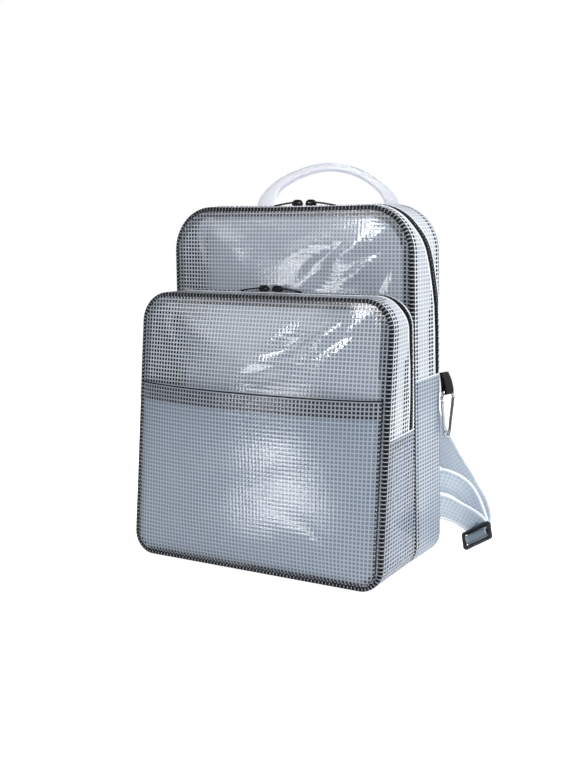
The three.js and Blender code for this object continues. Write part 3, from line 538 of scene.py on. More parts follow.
# Points outside a round-cornered frame come in to its edge
def frameClamp(shape, inset):
    baseHalf, topHalf = shape["baseWidth"] / 2 - inset, shape["topWidth"] / 2 - inset
    top = shape["height"] - inset
    topRadius, baseRadius = [max(shape[k] - inset, leastRadius) for k in ("topRadius", "baseRadius")]

    def clamp(x, z):
        sag = shape["topSag"] * np.maximum(0, 1 - (x / (topHalf - topRadius)) ** 2)
        z = np.clip(z, inset, top - sag)
        half = baseHalf + (topHalf - baseHalf) * z / shape["height"]
        x = np.clip(x, -half, half)
        for way, radius in ((1, topRadius), (-1, baseRadius)):
            cx, cz = half - radius, (top - radius) if way > 0 else (inset + radius)
            dx, dz = np.abs(x) - cx, (z - cz) * way
            far = np.hypot(dx, dz)
            out = (dx > 0) & (dz > 0) & (far > radius)
            scale = np.where(out, radius / np.maximum(far, 1e-6), 1)
            x = np.where(out, np.sign(x) * (cx + dx * scale), x)
            z = np.where(out, cz + dz * scale * way, z)
        return x, z
    return clamp


# Edge binding and the black tape along it. Angles go round the binding from outside to back.
welt = {"radius": 2.5, "centre": 2.5, "sunk": 0.8, "sides": 14, "bar": 1.0,
        "swell": (0.0, 0.16, 0.0, -0.08), "barTo": 110, "barFrom": 240, "turnedTo": 315, "turnedShare": 0.4,
        "panelTape": 12.5, "wallTape": {"main": 10.5, "pocket": 16}, "topTape": {"main": 0, "pocket": 14},
        "topEdge": 3, "tapeStart": 1.4, "backStart": 1.6, "backMiddle": 4.0, "rearStart": 0.4,
        "behind": 0.55, "behindPad": 0.6}


# Front panels of net film, clear where black tape lies behind them
def panelNet(name, node, shape, faceY, look):
    inner = frameClamp(shape, look["tape"])
    inset = look["inset"]

    def taped(x, z):
        cx, cz = inner(x, z)
        hemmed = (look["hem"] > 0) & (z > shape["height"] - depths["bead"] - look["hem"])
        return (np.hypot(cx - x, cz - z) > net["tapeMargin"]) | hemmed

    def place(x, z):
        return np.stack([x, faceY(x, z), z], -1)

    def forward(points):
        return np.broadcast_to([0.0, -1.0, 0.0], points.shape)

    heap = Heap()
    half = max(shape["baseWidth"], shape["topWidth"]) / 2 - inset
    raised = dict(shape, height=shape["height"] + inset - edgeIn)
    top = shape["height"] - edgeIn - net["thread"] / 2
    low = top - math.ceil((top - inset) / net["pitch"]) * net["pitch"]
    rows = np.append(threadLines(low, top), shape["height"] - edgeIn + net["topRow"])
    netSheet(heap, threadLines(-half, half), rows, place, frameClamp(raised, inset), forward, taped,
             look["ridge"])
    dress(heap.piece(name, [look["yarn"], look["film"], shadedSeamYarn, seamFilm]), node)


panelNet("mainFrontFilm", "main_front_panel", mainShape, mainFaceY,
         {"yarn": shadedPanelYarn, "film": windowFilm, "inset": 3.2, "ridge": 0.045, "tape": welt["panelTape"],
          "hem": 0})
panelNet("pocketFrontFilm", "pocket_front_panel", pocketShape, pocketFaceY,
         {"yarn": shadedPanelYarn, "film": pocketFilm, "inset": 3.2, "ridge": 0.045, "tape": welt["panelTape"],
          "hem": 0})
panelNet("slipPocketFilm", "slip_pocket_panel", slipShape, slipFaceY,
         {"yarn": shadedSlipYarn, "film": shadedSlipFilm, "inset": 7.0, "ridge": 0.15, "tape": slipFit["edgeTape"],
          "hem": slipFit["hemHeight"]})
print("front panels done")

fold = {"width": 2.6, "rearWidth": 1.6, "baseWidth": 1.6, "rise": 0.4, "step": 4,
        "shares": (0.0, 0.06, 0.3, 0.7, 0.94, 1.0), "rises": (-0.3, 0.35, 1.0, 1.0, 0.35, -0.3)}
wallEnd = 0.2  # a wall's film ends this far before its seam
baseTape = {"reaches": (3.4, 8.5, 13.0), "behind": 0.5, "shown": (3, 13)}  # below the band's upper edge
# The side loop's sewn end, a dark spot behind the wall
tail = {"middle": 192, "high": 12, "deep": 17, "reaches": (17, 9, 3), "below": 2}


# A folded edge of film: a low rounded strip between two lines of points
def foldStrip(heap, near, far, out, kind):
    shares, rises = np.array(fold["shares"]), np.array(fold["rises"]) * fold["rise"]
    rows = (near[:, None] + (far - near)[:, None] * shares[None, :, None]
            + out[:, None] * rises[None, :, None])
    heap.add(rows, gridFaces(len(rows), len(shares)), kind)


# Where black tape lies behind a wall: along its seams, and beside the lower part of the zip
def seamTaped(walled, station, depth):
    z, zipEnd = outlineAt(shapes[walled], 0, station)[1], shapes[walled]["zipEnd"]
    atTop = z > pocketShape["height"] - welt["topEdge"]
    seam = depth < welt["wallTape"][walled] + atTop * welt["topTape"][walled]
    if walled == "main":
        seam |= (depth > depths["main"] - welt["wallTape"]["main"]) & (z > zipEnd)
        reach = ((depths["main"] - depth) / tail["deep"]) ** 2 + ((z - tail["middle"]) / tail["high"]) ** 2
        seam |= (reach < 1) & (station < topStation)
    else:
        seam |= depth > pocketDepth(station) - zipFit["rearTape"]
        seam |= (z < zipEnd - baseTape["shown"][0]) & (z > zipEnd - baseTape["shown"][1])
    shown = np.clip((zipFit["shownBelow"][walled] - z) / zipFit["taper"], 0, 1) * (z > zipEnd)
    return seam | (np.abs(depth - frontLip(walled, station)) < zipFit["tapeFront"] * shown)


# Side walls: net film between two depths, with folded edges along the zip or on the base band's two ends
def wallNet(name, node, walled, start, end, low, high, film, yarn, lip=None, lipWidth=0):
    side, shape = walls[walled], shapes[walled]
    run, stationAt = evenStations(shape, start, end)
    heap = Heap()
    uLines = np.clip(threadLines(2 * wallEnd, run - 2 * wallEnd), wallEnd, run - wallEnd)
    vLines = threadLines(0, net["wallSpan"][walled], net["wallPitch"], net["wallThread"])

    def place(u, v):
        return side(stationAt(u), v, 0)

    def clamp(u, v):
        station = stationAt(u)
        return u, np.clip(v, low(station), high(station))

    def outward(points):
        away = points - np.array([0, 0, shape["height"] / 2])
        away[..., 1] = 0
        return away

    netSheet(heap, uLines, vLines, place, clamp, outward, lambda u, v: seamTaped(walled, stationAt(u), v))
    if lip is not None:
        stations = stationAt(np.linspace(wallEnd, run - wallEnd, int(run / fold["step"])))
        edge = lip(walled, stations)
        near, far = side(stations, edge, 0), side(stations, edge + lipWidth, 0)
        foldStrip(heap, near, far, unit(side(stations, edge, -1) - near), 4)
    else:
        for tip, step in ((wallEnd, 1), (run - wallEnd, -1)):
            deep = np.linspace(edgeIn, float(high(stationAt(tip))), 30)

            def lineAt(reach, inset):
                return side(np.full_like(deep, stationAt(tip + step * reach)), deep, inset)

            near = lineAt(0, 0)
            foldStrip(heap, near, lineAt(fold["baseWidth"], 0), unit(lineAt(0, -1) - near), 4)
            if walled == "pocket":
                heap.strip([lineAt(reach, baseTape["behind"]) for reach in baseTape["reaches"]], 5)
    dress(heap.piece(name, [yarn, film, yarn, seamFilm, foldedFilm, blackTape]), node)


# The base bands take the painted-shade film and yarn copies
baseShadeLooks = {"main": (shadedMainBaseFilm, shadedMainBaseYarn), "pocket": (shadedBaseFilm, shadedBaseYarn)}
for walled in ("main", "pocket"):
    def frontEdge(station):
        return edgeIn

    def rearEdge(station, w=walled):
        return wallDepth(w, station) - zipFit["rearEdge"][w]

    wallNet(f"{walled}ZipBandFront", f"{walled}_zip_band_front", walled, right, left, frontEdge,
            lambda s, w=walled: frontLip(w, s), wallFilm, whiteYarn, frontLip, -fold["width"])
    wallNet(f"{walled}ZipBandRear", f"{walled}_zip_band_rear", walled, right, left,
            lambda s, w=walled: rearLip(w, s), rearEdge, wallFilm, whiteYarn, rearLip, fold["rearWidth"])
    wallNet(f"{walled}BaseBand", f"{walled}_base_band", walled, left, stationCount + right, frontEdge,
            rearEdge, *baseShadeLooks[walled])
print("side walls done")


def backInsideY(x, z):
    return mainBack - depths["backPad"] + depths["backDome"] * dome(mainShape, 1, x, z)


# Lines round a frame at several insets, a little behind a face
def framedLines(shape, insets, stations, faceY, behind):
    lines = []
    for inset in insets:
        x, z = outlineAt(shape, inset, stations)
        lines.append(np.stack([x, faceY(x, z) + behind, z], -1))
    return lines


# Black tape behind the film on both sides of a front seam
def frontTapes(heap, walled, faceY):
    shape, side = shapes[walled], walls[walled]
    insets = np.linspace(welt["tapeStart"], welt["panelTape"], 5)
    heap.strip(framedLines(shape, insets, around, faceY, welt["behind"]), 2, True)
    if walled == "pocket":
        heap.strip([side(around, pocketDepth(around) - reach, welt["behind"])
                    for reach in (zipFit["rearTape"], welt["rearStart"])], 2, True)
    atTop = outlineAt(shape, 0, around)[1] > pocketShape["height"] - welt["topEdge"]
    deep = np.linspace(welt["tapeStart"], welt["wallTape"][walled], 4)
    wider = 1 + atTop * welt["topTape"][walled] / deep[-1]
    heap.strip([side(around, reach * wider, welt["behind"]) for reach in deep], 2, True)


# Black tape inside the back seam, and on the wall above the zip's ends
def backTapes(heap):
    insets = np.linspace(welt["backStart"], welt["panelTape"], 5)
    heap.strip(framedLines(mainShape, insets, around, backInsideY, -welt["behindPad"]), 2, True)
    over = np.linspace(right, left, 301)
    heap.strip([mainSide(over, depths["main"] - reach, welt["behind"])
                for reach in (welt["tapeStart"], welt["backMiddle"], welt["wallTape"]["main"])], 2)


# Edge binding: turned film over black tape, so each thread crosses it as a white bar
def boundEdge(name, node, shape, middleY, backward, addTapes):
    run, stationAt = evenStations(shape, 0, stationCount)
    count = int(round(run / net["pitch"]))
    pitch, bar = run / count, welt["bar"]
    starts = np.arange(count) * pitch
    lengths = np.stack([starts, starts + bar / 2, starts + bar, starts + (bar + pitch) / 2], -1).ravel()
    stations = stationAt(lengths)
    x, z = outlineAt(shape, welt["centre"], stations)
    outX, outZ = outlineAt(shape, welt["centre"] - 1, stations)
    out = unit(np.stack([outX - x, 0 * x, outZ - z], -1))
    middle = np.stack([x, middleY(z), z], -1)
    turn = np.arange(welt["sides"]) / welt["sides"] * 2 * math.pi
    radius = (welt["radius"] + np.tile(welt["swell"], count))[:, None, None]
    rows = middle[:, None] + radius * (out[:, None] * np.cos(turn)[None, :, None]
                                       + np.array([0, backward, 0]) * np.sin(turn)[None, :, None])
    step = np.repeat(np.arange(len(rows)) % 4, welt["sides"])
    angle = np.tile(np.degrees(turn) + 180 / welt["sides"], len(rows))
    # Painted shade: near the top, the bars between these angles take the dark grey yarn
    high = np.repeat(z > shape["height"] - shape["topRadius"] * welt["turnedShare"], welt["sides"])
    barred = (step < 2) & ((angle < welt["barTo"]) | (angle > welt["barFrom"]))
    if backward < 0:  # the side loop's webbing is folded round the back seam here
        barred &= ~np.repeat((x > 0) & (np.abs(z - tail["middle"]) < tail["high"]), welt["sides"])
    shadedTop = high & (angle > welt["barTo"]) & (angle < welt["turnedTo"])
    heap = Heap()
    heap.add(rows, gridFaces(len(rows), welt["sides"], True, True),
             np.where(barred, np.where(shadedTop, 3, 0), 1))
    addTapes(heap)
    dress(heap.piece(name, [shadedSeamYarn, coveredTape, blackTape, shadedTopYarn]), node)


boundEdge("mainFrontBinding", "main_front_binding", mainShape, lambda z: mainFront + welt["sunk"] + 0 * z,
          1.0, lambda heap: frontTapes(heap, "main", mainFaceY))
boundEdge("mainBackBinding", "main_back_binding", mainShape, lambda z: mainBack - welt["centre"] + 0 * z,
          -1.0, backTapes)
boundEdge("pocketFrontBinding", "pocket_front_binding", pocketShape,
          lambda z: pocketPlaneY(z) + welt["sunk"], 1.0, lambda heap: frontTapes(heap, "pocket", pocketFaceY))
print("bindings done")

# Coil turns, drawn coarser than the real 1.2 mm so that they show. A turn's ring goes across and up.
coil = {"tooth": 3.2, "shift": 0.55, "halfTurn": 0.75, "slant": 0.55,
        "wider": {"main": 1.3, "pocket": 1.0}, "flatTop": 2,
        "ring": [(-2.3, -0.6), (-1.9, 0.5), (-0.7, 1.1), (0.7, 1.1), (1.9, 0.5), (2.3, -0.6)],
        "endGap": 0.3, "tapeStep": 4, "tapeRim": 1.0, "behind": {"front": 0.6, "coil": 0.9, "rear": 1.5}}


# Zip: a row of coil turns over the tapes, which show black behind the film
def zipRun(name, node, walled):
    side = walls[walled]
    run, stationAt = evenStations(shapes[walled], right, left)
    heap = Heap()
    count = int(run / coil["tooth"])
    at = stationAt((np.arange(count) + 0.5) * run / count)
    centre = zipDepth(walled, at)
    base = side(at, centre, 0)
    out = unit(side(at, centre, -1) - base)
    across = unit(side(at, centre + 1, 0) - base)
    along = np.cross(out, across)
    shift = np.where(np.arange(count) % 2, coil["shift"], -coil["shift"])[:, None]
    ring = np.array(coil["ring"]) * (coil["wider"][walled], 1)
    turns = np.stack([base + out * h + across * (a + shift)
                      + along * (coil["halfTurn"] * half + coil["slant"] * a)
                      for half in (-1, 1) for a, h in ring], 1)
    k = len(ring)
    local = [[i, i + 1, k + i + 1, k + i] for i in range(k - 1)]  # over the turn, then its two ends
    local += [[0, 1, 4, 5], [1, 2, 3, 4], [k, k + 5, k + 4, k + 1], [k + 1, k + 4, k + 3, k + 2]]
    faces = (np.array(local)[None] + (np.arange(count) * 2 * k)[:, None, None]).reshape(-1, 4)
    # Painted highlight: the flat top of each turn takes the light grey coil material
    glint = np.where(np.arange(len(local)) == coil["flatTop"], 2, 0)
    heap.add(turns, faces, np.tile(glint, count))
    lengths = np.linspace(coil["endGap"], run - coil["endGap"], int(run / coil["tapeStep"]))
    stations = stationAt(lengths)
    front, rear = frontLip(walled, stations), rearLip(walled, stations)
    # Painted shade: on the far part of the run the black tape reaches much wider, a dark sheet that shows
    # through the film
    far = np.clip((lengths / run - zipFit["farFrom"]) / zipFit["farBlend"], 0, 1)
    reach = zipFit["tapeFront"] + (zipFit["farTape"] - zipFit["tapeFront"]) * far
    reach = np.minimum(reach, front - zipFit["tapeEdge"])
    spans = [(front - reach, front, coil["behind"]["front"]), (front, rear, coil["behind"]["coil"]),
             (rear, rear + coil["tapeRim"], coil["behind"]["rear"])]
    heap.strip([side(stations, start + (end - start) * share, inset)
                for start, end, inset in spans for share in (0.0, 0.5, 1.0)], 1)
    dress(heap.piece(name, [zipCoil, blackTape, highlightCoil]), node)


zipRun("mainZipCoil", "main_zip_chain", "main")
zipRun("pocketZipCoil", "pocket_zip_chain", "pocket")
print("zips done")


# Padded back: net film over foam outside, plain sheet inside
def backPanel():
    pad = {"inset": 2.2, "channel": 2.2, "channelWidth": 5, "rows": (128, 256), "rings": 24, "sides": 240,
           "hub": 0.02, "rim": 0.1, "rimSoft": 2}

    def outerY(x, z):
        channels = sum(np.exp(-((z - row) / pad["channelWidth"]) ** 2) for row in pad["rows"])
        rim = dome(mainShape, 1, x, z)
        sewn = pad["channel"] * channels * np.minimum(1, rim * pad["rimSoft"])
        return mainBack + depths["backDome"] * rim - sewn

    def place(x, z):
        return np.stack([x, outerY(x, z), z], -1)

    def backward(points):
        return np.broadcast_to([0.0, 1.0, 0.0], points.shape)

    heap = Heap()
    half, top = mainShape["topWidth"] / 2 - pad["inset"], mainShape["height"] - pad["inset"]
    netSheet(heap, threadLines(-half, half), threadLines(pad["inset"], top), place,
             frameClamp(mainShape, pad["inset"]), backward)
    x, z = outlineAt(mainShape, pad["inset"], np.linspace(0, stationCount, pad["sides"] + 1)[:-1])
    middle = mainShape["height"] / 2
    rings = []
    for share in np.linspace(pad["hub"], 1, pad["rings"]):
        rx, rz = x * share, middle + (z - middle) * share
        rings.append(np.stack([rx, backInsideY(rx, rz), rz], -1))
    rings.append(np.stack([x, outerY(x, z) - pad["rim"], z], -1))
    heap.strip(rings, 2, True)
    piece = heap.piece("mainBackPad", [whiteYarn, padSheet, padSheet])
    dress(piece, "main_back_panel")


backPanel()
print("back pad done")


# Hem of the slip pocket: black tape behind the film, turned over the mouth as a thin black edge
def slipHem():
    hem = {"inset": 6.8, "middleInset": 9.0, "over": 0.3, "behind": 0.4, "edgeBehind": 0.5,
           "rollBack": 0.75, "rollUp": 0.45, "rollDeep": 1.15, "rollHigh": 0.825}
    half = slipShape["topWidth"] / 2 - hem["inset"]
    top = slipShape["height"] - depths["bead"] + hem["over"]
    x = np.linspace(-half, half, 121)
    heap = Heap()
    lines = []
    for level in np.linspace(top - slipFit["hemHeight"], top, 6):
        z = np.full_like(x, level)
        lines.append(np.stack([x, slipFaceY(x, z) + depths["film"] + hem["behind"], z], -1))
    heap.strip(lines, 0)
    stations = np.linspace(stationCount - topTurnStart, stationCount + topTurnStart, 241)
    insets = (hem["inset"], hem["middleInset"], slipFit["edgeTape"])
    heap.strip(framedLines(slipShape, insets, stations, slipFaceY, hem["edgeBehind"]), 0)
    front = slipFaceY(x, np.full_like(x, top)) + hem["rollBack"]
    crest = np.full_like(x, top + hem["rollUp"])
    turn = np.linspace(0, 2 * math.pi, 9)[:-1]
    rows = np.stack([np.stack([x, front + hem["rollDeep"] * np.cos(t),
                               crest + hem["rollHigh"] * np.sin(t)], -1) for t in turn], 1)
    heap.add(rows, gridFaces(len(x), len(turn), False, True), 1)
    dress(heap.piece("slipPocketHem", [blackTape, coveredTape]), "slip_pocket_hem")


slipHem()


# A smooth line through given points, the same as the frame's
def smoothLine(rows, count):
    rows = np.asarray(rows, float)
    at = np.linspace(0, len(rows) - 1, count)
    low = np.clip(np.floor(at).astype(int), 0, len(rows) - 2)
    share = (at - low)[:, None]
    ends = np.vstack([2 * rows[0] - rows[1], rows, 2 * rows[-1] - rows[-2]])
    before, start, end, after = [ends[low + k] for k in range(4)]
    first, gap, last = [np.maximum(np.linalg.norm(b - a, axis=1, keepdims=True), 1e-6) ** 0.5
                        for a, b in ((before, start), (start, end), (end, after))]
    leave = ((start - before) / first - (end - before) / (first + gap) + (end - start) / gap) * gap
    arrive = ((end - start) / gap - (after - start) / (gap + last) + (after - end) / last) * gap
    square, cube = -3 * start + 3 * end - 2 * leave - arrive, 2 * start - 2 * end + leave + arrive
    return start + leave * share + square * share ** 2 + cube * share ** 3


# Where a band of film runs: its middle, its two directions and its width at a length along it
def bandRun(middles, acrosses, widths, samples=900):
    at = np.linspace(0, len(middles) - 1, samples)
    middle, across = smoothLine(middles, samples), smoothLine(acrosses, samples)
    along = unit(np.gradient(middle, axis=0))
    side = unit(across - along * np.sum(across * along, 1, keepdims=True))
    out = np.cross(along, side)
    width = np.interp(at, np.arange(len(widths)), widths)
    run = np.concatenate([[0], np.cumsum(np.linalg.norm(np.diff(middle, axis=0), axis=1))])

    def frameAt(length):
        length = np.asarray(length, float)
        pick = [np.stack([np.interp(length, run, table[:, k]) for k in range(3)], -1)
                for table in (middle, side, out)]
        return pick[0], unit(pick[1]), unit(pick[2]), np.interp(length, run, width)
    return run[-1], frameAt


# A rounded rod of any width and height along a line of frames
def rod(heap, middle, side, out, halfSide, halfOut, sides, kind, power=2.0):
    turn = np.arange(sides) / sides * 2 * math.pi
    c, s = [np.sign(w) * np.abs(w) ** (2 / power) for w in (np.cos(turn), np.sin(turn))]
    halfSide, halfOut = np.broadcast_to(halfSide, len(middle)), np.broadcast_to(halfOut, len(middle))
    rows = (middle[:, None] + side[:, None] * (halfSide[:, None] * c)[..., None]
            + out[:, None] * (halfOut[:, None] * s)[..., None])
    heap.add(rows, gridFaces(len(rows), sides, False, True), kind)
    for ring, tip in ((rows[0], middle[0]), (rows[-1], middle[-1])):
        fan = np.stack([ring, np.repeat(tip[None], sides, 0)], 0)
        heap.add(fan, gridFaces(2, sides, False, True), kind)


dash = {"at": np.array([0.12, 0.32, 0.5, 0.68, 0.88]), "lift": np.array([-0.1, 0.15, 0.2, 0.15, -0.1]),
        "wide": np.array([0.5, 1, 1, 1, 0.5]), "high": np.array([0.4, 0.8, 0.9, 0.8, 0.4])}


# Sewn stitches: short thread dashes along a line
def stitches(heap, line, out, pitch, size, kind):
    run = np.concatenate([[0], np.cumsum(np.linalg.norm(np.diff(line, axis=0), axis=1))])
    count = max(1, int(run[-1] / pitch))
    for k in range(count):
        at = (k + dash["at"]) * run[-1] / count
        middle, rise = [np.stack([np.interp(at, run, table[:, i]) for i in range(3)], -1)
                        for table in (line, out)]
        rise = unit(rise)
        side = np.cross(rise, unit(np.gradient(middle, axis=0)))
        rod(heap, middle + rise * dash["lift"][:, None], side, rise,
            size * dash["wide"], size * dash["high"], 6, kind)


handle = {"y": 36.4, "z": 374, "lean": 0.24, "steps": 180, "stitch": 3.4, "thread": 0.32,
          "grip": slice(46, 160), "gripEdge": 0.62, "gripSink": 0.47,
          "foot": slice(2, 40), "footRows": (1.6, 4.2), "footSink": 0.5}
handleRows = [  # x, z, width, thickness
    (-72, 374, 27, 2.4), (-70, 390, 26, 2.6), (-59, 408, 15, 4.4), (-26, 424, 11, 5), (7, 429.5, 10.5, 5),
    (44, 423, 11, 5), (71, 409, 12, 4.4), (88, 394, 16, 2.8), (97, 374, 21, 2.4)]


# Carry handle: film rolled into a soft grip between two flat feet
def carryHandle():
    x, z, width, thick = np.array(handleRows, float).T
    lean = np.array([0, 1, -handle["lean"]]) / math.hypot(1, handle["lean"])
    steps = handle["steps"]
    middle = smoothLine(np.stack([x, handle["y"] + (z - handle["z"]) * handle["lean"], z], -1), steps)
    sizes = smoothLine(np.stack([width, thick, 0 * x], -1), steps)
    across = unit(np.cross(unit(np.gradient(middle, axis=0)), lean))
    out = np.broadcast_to(lean, across.shape)
    heap = Heap()
    rod(heap, middle, across, out, sizes[:, 0] / 2, sizes[:, 1] / 2, 24, 0, 2.6)
    grip, foot = handle["grip"], handle["foot"]
    for share in (-handle["gripEdge"], handle["gripEdge"]):
        line = middle + across * (sizes[:, :1] * share / 2) - out * (sizes[:, 1:2] * handle["gripSink"])
        stitches(heap, line[grip], -out[grip], handle["stitch"], handle["thread"], 1)
    for inset in handle["footRows"]:
        line = middle + across * (sizes[:, :1] / 2 - inset) - out * (sizes[:, 1:2] * handle["footSink"])
        stitches(heap, line[foot], -out[foot], handle["stitch"], handle["thread"], 2)
    dress(heap.piece("carryHandle", [handleFilm, handleThread, paleStitch]), "carry_handle")


carryHandle()

strap = {"width": 28, "hemHalf": 1.9, "hemThick": 0.8, "stitch": 3.2, "thread": 0.3, "step": 2.5,
         "rolled": 17, "sliderRound": 0.7}
shoulderRows = [  # middle, width direction, width
    ((64, 36.8, 364), (1, 0, 0), 44), ((66, 43, 346), (1, 0, 0), 44), ((72, 66, 310), (1, -0.1, 0.1), 44),
    ((84, 88, 240), (0.95, -0.25, 0.3), 42), ((105, 89, 166), (0.75, -0.3, 0.55), 40),
    ((136, 87, 103), (0.5, -0.25, 0.8), 38), ((164, 92, 66), (0.55, -0.35, 0.6), 30),
    ((180, 88, 40), (0.8, -0.2, 0.45), 28), ((186, 75, 22), (0.85, 0, 0.52), 28)]
lowerStart = [((104, 37.4, 44), (0.2, 0.036, 1), 30), ((122, 44, 46), (0.2, 0, 1), 32),
              ((142, 58, 46.5), (0.3, 0, 0.9), 33), ((160, 70, 38), (0.6, 0, 0.7), 29)]
lowerThread = [  # round the slider's bar: up and out from it
    (14, -3.5), (8.5, -3.3), (4.8, 0), (2.4, 2.7), (0, 3.3), (-2.4, 2.7), (-4.8, 0), (-4.6, -4), (0, -6.6),
    (12, -7.6)]
lowerReturn = [((162, 78, 61), (0.55, 0.1, 0.75), 29), ((142, 66.5, 73.5), (0.3, 0, 0.95), 33),
               ((122, 49, 75), (0.1, 0, 1), 32), ((104, 38.1, 76), (0, 0.025, 1), 30)]
barAt = np.array([187, 58, 19.0])
barAlong, barFace = unit(np.array([0.85, 0, 0.52])), unit(np.array([-0.33, -0.76, 0.54]))
barUp = np.cross(barFace, barAlong)


# Straps of doubled film: the thread net runs on, and each edge is folded to a white hem
def filmStrap(name, node, rows, side, rolled):
    flip = np.array([side, 1, 1])
    middles, acrosses, widths = zip(*rows)
    run, frameAt = bandRun(np.array(middles, float) * flip, np.array(acrosses, float) * flip, widths)
    heap = Heap()

    def place(u, v):
        middle, across, out, width = frameAt(u)
        return middle + across * v[..., None]

    def clamp(u, v):
        half = frameAt(u)[3] / 2 - strap["hemHalf"]
        return np.clip(u, 0, run), np.clip(v, -half, half)

    widest = max(widths) / 2
    uLines = np.clip(threadLines(0, run), 0, run)
    netSheet(heap, uLines, threadLines(-widest, widest), place, clamp,
             lambda points: frameAt(uLines)[2][:, None] + 0 * points)
    middle, across, out, width = frameAt(np.linspace(0, run, int(run / strap["step"])))
    for edge in (-1, 1):
        line = middle + across * (edge * (width / 2 - strap["hemHalf"]))[:, None]
        rod(heap, line, across, out, strap["hemHalf"], strap["hemThick"], 10, 2, 2.6)
        for face in (-1, 1):
            stitches(heap, line + out * (face * strap["hemThick"]), out * face, strap["stitch"],
                     strap["thread"], 3)
    piece = heap.piece(name, [strapYarn, strapFilm, foldedFilm, paleStitch, shadedRollFilm])
    if rolled:  # drawn tight round the slider's bar, where it takes painted shade
        faces = piece.data.polygons
        centres, kinds = np.empty(len(faces) * 3), np.empty(len(faces), np.int32)
        faces.foreach_get("center", centres)
        faces.foreach_get("material_index", kinds)
        reach = np.linalg.norm(centres.reshape(-1, 3) / mm - barAt * flip, axis=1)
        kinds[reach < strap["rolled"]] = 4
        faces.foreach_set("material_index", kinds)
    dress(piece, node)


threadRows = [(barAt + barUp * up + barFace * out, barAlong, strap["width"]) for up, out in lowerThread]
lowerRows = lowerStart + threadRows + lowerReturn
for name, side in (("right", 1), ("left", -1)):
    filmStrap(f"shoulderStrap_{name}", f"shoulder_strap_{name}", shoulderRows, side, False)
    filmStrap(f"lowerStrap_{name}", f"lower_strap_{name}", lowerRows, side, True)
print("handle and straps done")


# A CAD node whose shape is right, with its edges rounded, and bent down along X where a bend is given
def softened(name, node, body, material, rounding, bend=None):
    limits = {"weld": 0.01, "flat": 2, "sharp": 35, "smooth": 40, "cuts": 9}
    work = bmesh.new()
    work.from_mesh(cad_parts[node].data)
    bmesh.ops.remove_doubles(work, verts=work.verts, dist=limits["weld"] * mm)
    bmesh.ops.dissolve_limit(work, angle_limit=math.radians(limits["flat"]), verts=work.verts,
                             edges=work.edges)
    sharp = [e for e in work.edges
             if len(e.link_faces) == 2 and e.calc_face_angle(0) > math.radians(limits["sharp"])]
    bmesh.ops.bevel(work, geom=sharp, offset=rounding * mm, segments=3, profile=0.5, affect="EDGES",
                    clamp_overlap=True)
    if bend is not None:
        for k in range(1, limits["cuts"]):
            cut = Vector((bend["from"] + bend["reach"] * k / limits["cuts"], 0, 0)) * mm
            bmesh.ops.bisect_plane(work, geom=work.verts[:] + work.edges[:] + work.faces[:], plane_co=cut,
                                   plane_no=(1, 0, 0))
        for vert in work.verts:
            along = max(0, (vert.co.x / mm - bend["from"]) / bend["reach"])
            vert.co.z -= bend["fall"] * mm * along ** 2
    work.verts.index_update()
    points = [tuple(vert.co) for vert in work.verts]
    faces = [[vert.index for vert in face.verts] for face in work.faces]
    work.free()
    # Cuts leave the faces in no fixed order, so each starts at its first point and they are sorted
    faces = sorted(face[face.index(min(face)):] + face[:face.index(min(face))] for face in faces)
    mesh = bpy.data.meshes.new(name)
    mesh.from_pydata(points, [], faces)
    mesh.materials.append(material)
    mesh.polygons.foreach_set("use_smooth", np.ones(len(mesh.polygons), bool))
    mesh.set_sharp_from_angle(angle=math.radians(limits["smooth"]))
    piece = bpy.data.objects.new(name, mesh)
    bpy.context.scene.collection.objects.link(piece)
    dress(piece, node, body)


for name in ("right", "left"):
    softened(f"strapSlider_{name}", f"strap_slider_{name}", "bag", acetal,
             strap["sliderRound"])

pull = {"length": 31, "fall": 2.2, "rounding": 0.35}
zipSeats = {  # slider middle on each zip, and which way its pull lies
    "main_zip_right": ((18, -11.39, 385.53), 1, "main_right_pull"),
    "main_zip_left": ((1, -11.39, 385.5), -1, "main_left_pull"),
    "pocket_zip_right": ((-3, -49.95, 294.0), 1, "pocket_right_pull"),
    "pocket_zip_left": ((-20, -49.95, 294.0), -1, "pocket_left_pull"),
}


# Zip slider: a rounded shell with an arched bridge that the pull hangs in
def zipSlider(name, node, seat, turn):
    shell = {"length": 13, "width": 9, "base": 0.9, "top": 4.0, "waist": 0.38, "waistTurn": 1.25,
             "endPower": 6, "leastHalf": 0.02, "crownPower": 4, "leastDeep": 0.05,
             "bridgeHalf": 1.9, "bridgeThick": 1.0}
    bridge = [(-5.4, 0, 1.8), (-5.0, 0, 4.2), (-3.4, 0, 6.2), (0, 0, 6.7),
              (3.4, 0, 6.2), (5.0, 0, 4.2), (5.4, 0, 1.8)]
    heap = Heap()
    x = np.linspace(-1, 1, 17)
    taper = 1 - shell["waist"] + shell["waist"] * np.cos(x * shell["waistTurn"])
    ends = np.maximum(shell["leastHalf"], 1 - np.abs(x) ** shell["endPower"])
    crown = np.maximum(shell["leastDeep"], 1 - np.abs(x) ** shell["crownPower"])
    half = shell["width"] / 2 * taper * np.sqrt(ends)
    deep = (shell["top"] - shell["base"]) / 2 * np.sqrt(crown)
    middle = np.stack([x * shell["length"] / 2, 0 * x, 0 * x + (shell["top"] + shell["base"]) / 2], -1)
    across, up = [np.broadcast_to(way, middle.shape) for way in ([0.0, 1, 0], [0.0, 0, 1])]
    rod(heap, middle, across, up, half, deep, 20, 0, 3.4)
    line = smoothLine(bridge, 37)
    across = np.broadcast_to([0.0, 1, 0], line.shape)
    rod(heap, line, across, np.cross(unit(np.gradient(line, axis=0)), across), shell["bridgeHalf"],
        shell["bridgeThick"], 14, 0, 3.0)
    for points in heap.points:
        points[:, 0] *= turn
        points += np.array(seat)
    dress(heap.piece(name, [lacquer]), node)


